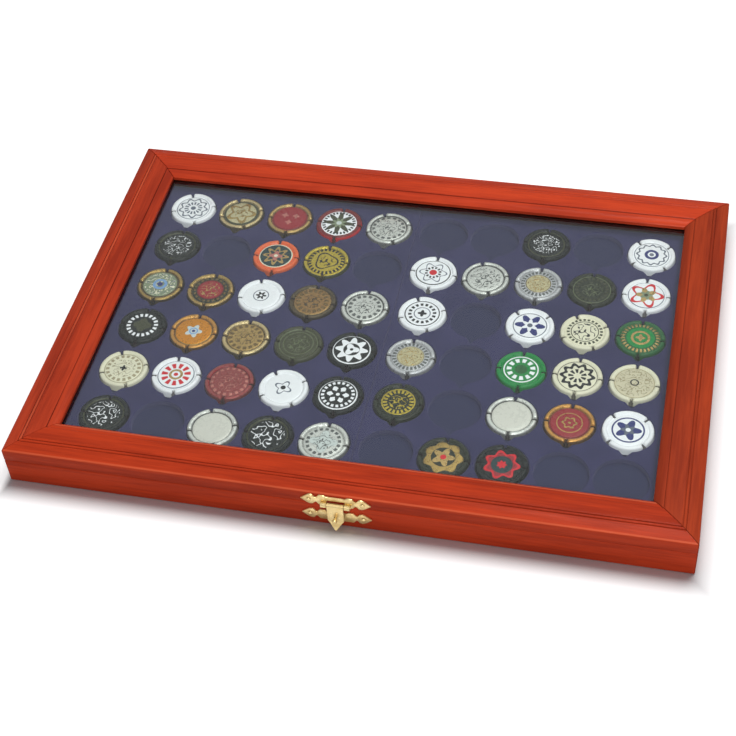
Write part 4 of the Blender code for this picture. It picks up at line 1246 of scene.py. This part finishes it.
# %% Latch plates
plate_low, plate_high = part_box("latch_base_plate")
PLATE_NEAR = plate_high.y
PLATE_HALF_HEIGHT = (plate_high.z - plate_low.z) / 2
PLATE_HALF_MIDDLE = 9.5 * MM
SPEAR = plate_high.x - PLATE_HALF_MIDDLE
SPEAR_ROOT = [(0.0, 1.0), (0.05, 0.94), (0.11, 0.7), (0.17, 0.48)]
SPEAR_LEAF = [(0.17, 0.48), (0.26, 0.55), (0.35, 0.9), (0.48, 1.0), (0.63, 0.86), (0.81, 0.46)]
LOBE = [(7.6, 0.0), (6.6, 0.12), (5.8, 0.6), (5.0, 0.9), (4.0, 0.95)]
HALF_WINDOW = 5.2 * MM
AXIS_Y, AXIS_Z = -144.698 * MM, 20.2 * MM
KNUCKLE_RADIUS = 1.7 * MM
KNUCKLE_BORE = 0.95 * MM
KNUCKLE_END = 8.6 * MM
WINDOW_HEIGHT = 4.5 * MM
NAIL_RISE = 0.6 * MM


def plate_outline(middle_z, window_top=None):
    """Latch plate in X and height, counter-clockwise, with its window cut from below."""
    upper = smooth_run(SPEAR_ROOT, 3)[:-1] + smooth_run(SPEAR_LEAF + [(1.0, 0.0)], 5)
    quarter = [(PLATE_HALF_MIDDLE + x * SPEAR, z * PLATE_HALF_HEIGHT) for x, z in upper]
    dip = [(x * MM, PLATE_HALF_HEIGHT - drop * MM) for x, drop in smooth_run(LOBE, 2)]
    right = [(x, -z) for x, z in quarter] + quarter[-2::-1] + dip
    points = [(x, z + middle_z) for x, z in right + [(-x, z) for x, z in reversed(right)]]
    if window_top:
        low = middle_z - PLATE_HALF_HEIGHT
        points += [(-HALF_WINDOW, low), (-HALF_WINDOW, window_top)]
        points += [(HALF_WINDOW, window_top), (HALF_WINDOW, low)]
    return points


def latch_plate(body, outline, extras):
    """One latch plate, standing on the front of the case."""
    sheet = moved(plate(outline, SHEET, 0.25 * MM), Matrix.Translation((0, PLATE_NEAR, 0)) @ FACE_FRONT)
    brass(f"spear_plate_{body}", joined(sheet, *extras), body, f"latch_{body}_plate")


KNOB_Z = middle("latch_knob").z
BOSS = 1.4 * MM
BOSS_EASE = 0.3 * MM
heights = {
    "lid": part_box("latch_lid_plate")[1].z - PLATE_HALF_HEIGHT,
    "base": (plate_low.z + plate_high.z) / 2,
}
runs = [(HALF_WINDOW, KNUCKLE_END), (-KNUCKLE_END, -HALF_WINDOW)]
knuckles = [tube(KNUCKLE_RADIUS, KNUCKLE_BORE, *run, AXIS_Y, AXIS_Z) for run in runs]
window_top = heights["lid"] - PLATE_HALF_HEIGHT + WINDOW_HEIGHT
latch_plate("lid", plate_outline(heights["lid"], window_top), knuckles)

reach = PLATE_NEAR - plate_low.y
boss = turned([(0, reach), (BOSS - BOSS_EASE, reach), (BOSS, reach - BOSS_EASE), (BOSS, 0), (0, 0)])
moved(boss, Matrix.Translation((0, PLATE_NEAR, KNOB_Z)) @ FACE_FRONT)
latch_plate("base", plate_outline(heights["base"]), [boss])

for body, height in heights.items():
    for side in ("left", "right"):
        node = f"latch_nail_{body}_{side}"
        head = (middle(node).x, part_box(node)[0].y + NAIL_RISE, height)
        nail = fixing(head=1.3 * MM, rise=NAIL_RISE, shank=0.6 * MM, length=6.0 * MM)
        brass(f"domed_nail_{body}_{side}", nail, body, node, Matrix.Translation(head) @ FACE_FRONT)
print("latch plates and nails done")

# %% [markdown]
# The tongue is one bent strip. It hangs from its knuckle over the seam, narrows from its square
# shoulders to a point and turns outwards there, so that a finger can lift it. Its section is a
# rounded rectangle that is carried down a bent line. The ball knob is riveted through it.

# %% Tongue, knob and pin
TONGUE_LINE = [
    (20.2, -146.0, 4.9), (14.0, -146.0, 4.9), (8.9, -146.0, 4.9), (8.1, -146.02, 4.45),
    (7.2, -146.25, 3.75), (6.0, -146.75, 2.95), (4.8, -147.28, 2.15), (3.7, -147.78, 1.35),
    (2.9, -148.12, 0.8), (2.65, -148.24, 0.45),
]
STRIP_EASE = 0.2 * MM
HALF_BARREL = 4.9 * MM
RIVET = 1.0 * MM
TONGUE_MIDDLE = -146.4 * MM


def tongue_mesh():
    """Bent strip from its knuckle to its pointed foot."""
    rings = []
    half = SHEET / 2
    line = TONGUE_LINE
    for before, (z, y, half_width), after in zip(line[:1] + line, line, line[1:] + line[-1:]):
        down = Vector((0, after[1] - before[1], after[0] - before[0])).normalized()
        out = Vector((1, 0, 0)).cross(down)
        side = half_width * MM
        ring = []
        for across, thick in ((1, 1), (-1, 1), (-1, -1), (1, -1)):
            corner = [(side - STRIP_EASE, half), (side, half - STRIP_EASE)]
            for x, t in corner if across * thick < 0 else reversed(corner):
                ring.append(Vector((across * x, y * MM, z * MM)) + out * thick * t)
        rings.append(ring)
    return skin(rings)


barrel = tube(KNUCKLE_RADIUS, KNUCKLE_BORE, -HALF_BARREL, HALF_BARREL, AXIS_Y, AXIS_Z)
rivet_place = Matrix.Translation((0, TONGUE_MIDDLE, KNOB_Z)) @ FACE_FRONT
rivet_hole = moved(turned([(0, MM), (RIVET, MM), (RIVET, -2 * MM), (0, -2 * MM)]), rivet_place)
brass("bent_tongue", joined(carved(tongue_mesh(), rivet_hole), barrel), "tongue", "latch_tongue")

BALL = 1.5 * MM
NECK = 0.7 * MM
BALL_HEIGHT = BALL + 0.8 * MM
angles = [(math.pi - math.asin(NECK / BALL)) * step / 12 for step in range(13)]
knob = [(BALL * math.sin(angle), BALL_HEIGHT + BALL * math.cos(angle)) for angle in angles]
knob_mesh = turned(knob + [(NECK, -SHEET), (0, -SHEET)])
brass("ball_knob", knob_mesh, "tongue", "latch_knob", rivet_place)
pin_low, pin_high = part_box("latch_pin")
tongue_pin = pin(0.65 * MM, pin_low.x, pin_high.x, AXIS_Y, AXIS_Z)
brass("tongue_pin", tongue_pin, "lid", "latch_pin")
print("latch done")

# %% [markdown]
# The photograph is a catalogue picture on a white ground. The floor is a matt white sheet that
# keeps the soft shadow. Seen by the camera, in metal or through glass, it also glows a little
# away from the case, so that it reads as pure white as catalogue paper does, and a little more
# where it is far from the lamps.

# %% Floor
FLOOR, tree, place = start_material("studio floor")
x, y, _ = place.parts()
# The glow is painted light: from nothing at the case's edge it rises to full within 13 mm, three times
# sooner on the left side, so it ends the cast shadow there.
off = (x - cad_high.x).math("MAXIMUM", (cad_low.x - x) * 3.0)
off = off.math("MAXIMUM", abs(y) - cad_high.y)
glow = off.between(0.0, 0.013) * 0.62 + off.between(0.5, 2.0) * 0.22
seen = ray(tree, "Camera").math("MAXIMUM", ray(tree, "Glossy"))
seen = seen.math("MAXIMUM", ray(tree, "Transmission"))
fill(FLOOR, Base_Color=(0.9, 0.91, 0.93, 1.0), Roughness=0.6, Specular_IOR_Level=0.2)
fill(FLOOR, Emission_Color=(1.0, 1.0, 1.0, 1.0), Emission_Strength=seen * glow)

floor_mesh = bpy.data.meshes.new("floor")
floor_mesh.from_pydata([(-4, -4, 0), (4, -4, 0), (4, 4, 0), (-4, 4, 0)], [], [(0, 1, 2, 3)])
floor_mesh.materials.append(FLOOR)
floor = new_object("studio_floor", floor_mesh)
print("floor:", len(tree.nodes), "nodes")

# %% [markdown]
# The light is broad and soft. One softbox hangs above and a little behind the case. A second
# one in front fills the moulding, the skirts and the brass, and a flag keeps it off the floor,
# so that it adds no second shadow. Neither lamp reaches the pane, as if a polarising filter
# took their mirror images out of it. The camera stands where the photographer's stood. Its
# place was solved from the grid of recesses, the frame's corners and the glass's edges.


# %% Lamps and camera
def lamp(name, place, size, power, tint, *flagged):
    """Soft round lamp that looks at the case and gives some objects no light."""
    data = bpy.data.lights.new(name, "AREA")
    data.shape = "DISK"
    data.size = size
    data.energy = power
    data.color = tint
    light = new_object(name, data)
    light.location = place
    light.rotation_euler = (-Vector(place)).to_track_quat("-Z", "Y").to_euler()
    shaded = bpy.data.collections.new("flagged from the " + name)
    for piece in flagged:
        shaded.objects.link(piece)
    light.light_linking.receiver_collection = shaded
    for member in shaded.collection_objects:
        member.light_linking.link_state = "EXCLUDE"


lamp("overhead softbox", (0.3, 0.36, 1.4), 0.75, 11.0, (1.0, 0.99, 0.97), PANE)
lamp("front softbox", (0.35, -1.0, 1.2), 0.6, 14.5, (1.0, 0.99, 0.98), PANE, floor)

world = bpy.data.worlds.new("studio")
world.use_nodes = True
background = world.node_tree.nodes["Background"].inputs
camera_part, glossy_part = ray(world.node_tree, "Camera") * 0.8, ray(world.node_tree, "Glossy") * 0.4
feed(background["Color"], (0.97, 0.98, 1.0, 1.0))
feed(background["Strength"], camera_part + glossy_part + 0.2)
bpy.context.scene.world = world
bpy.context.scene.view_settings.view_transform = "Standard"

lens = bpy.data.cameras.new("photo camera")
lens.lens = 75.73
lens.sensor_width = 36.0
lens.clip_end = 20.0
camera = new_object("photo camera", lens)
camera.matrix_world = Matrix(
    (
        (0.97575, -0.11616, 0.18553, 0.1722),
        (0.21137, 0.72034, -0.66063, -0.6650),
        (-0.05691, 0.68383, 0.72742, 0.7125),
        (0.0, 0.0, 0.0, 1.0),
    )
)
bpy.context.scene.camera = camera
print("camera", [round(value, 4) for value in camera.location])
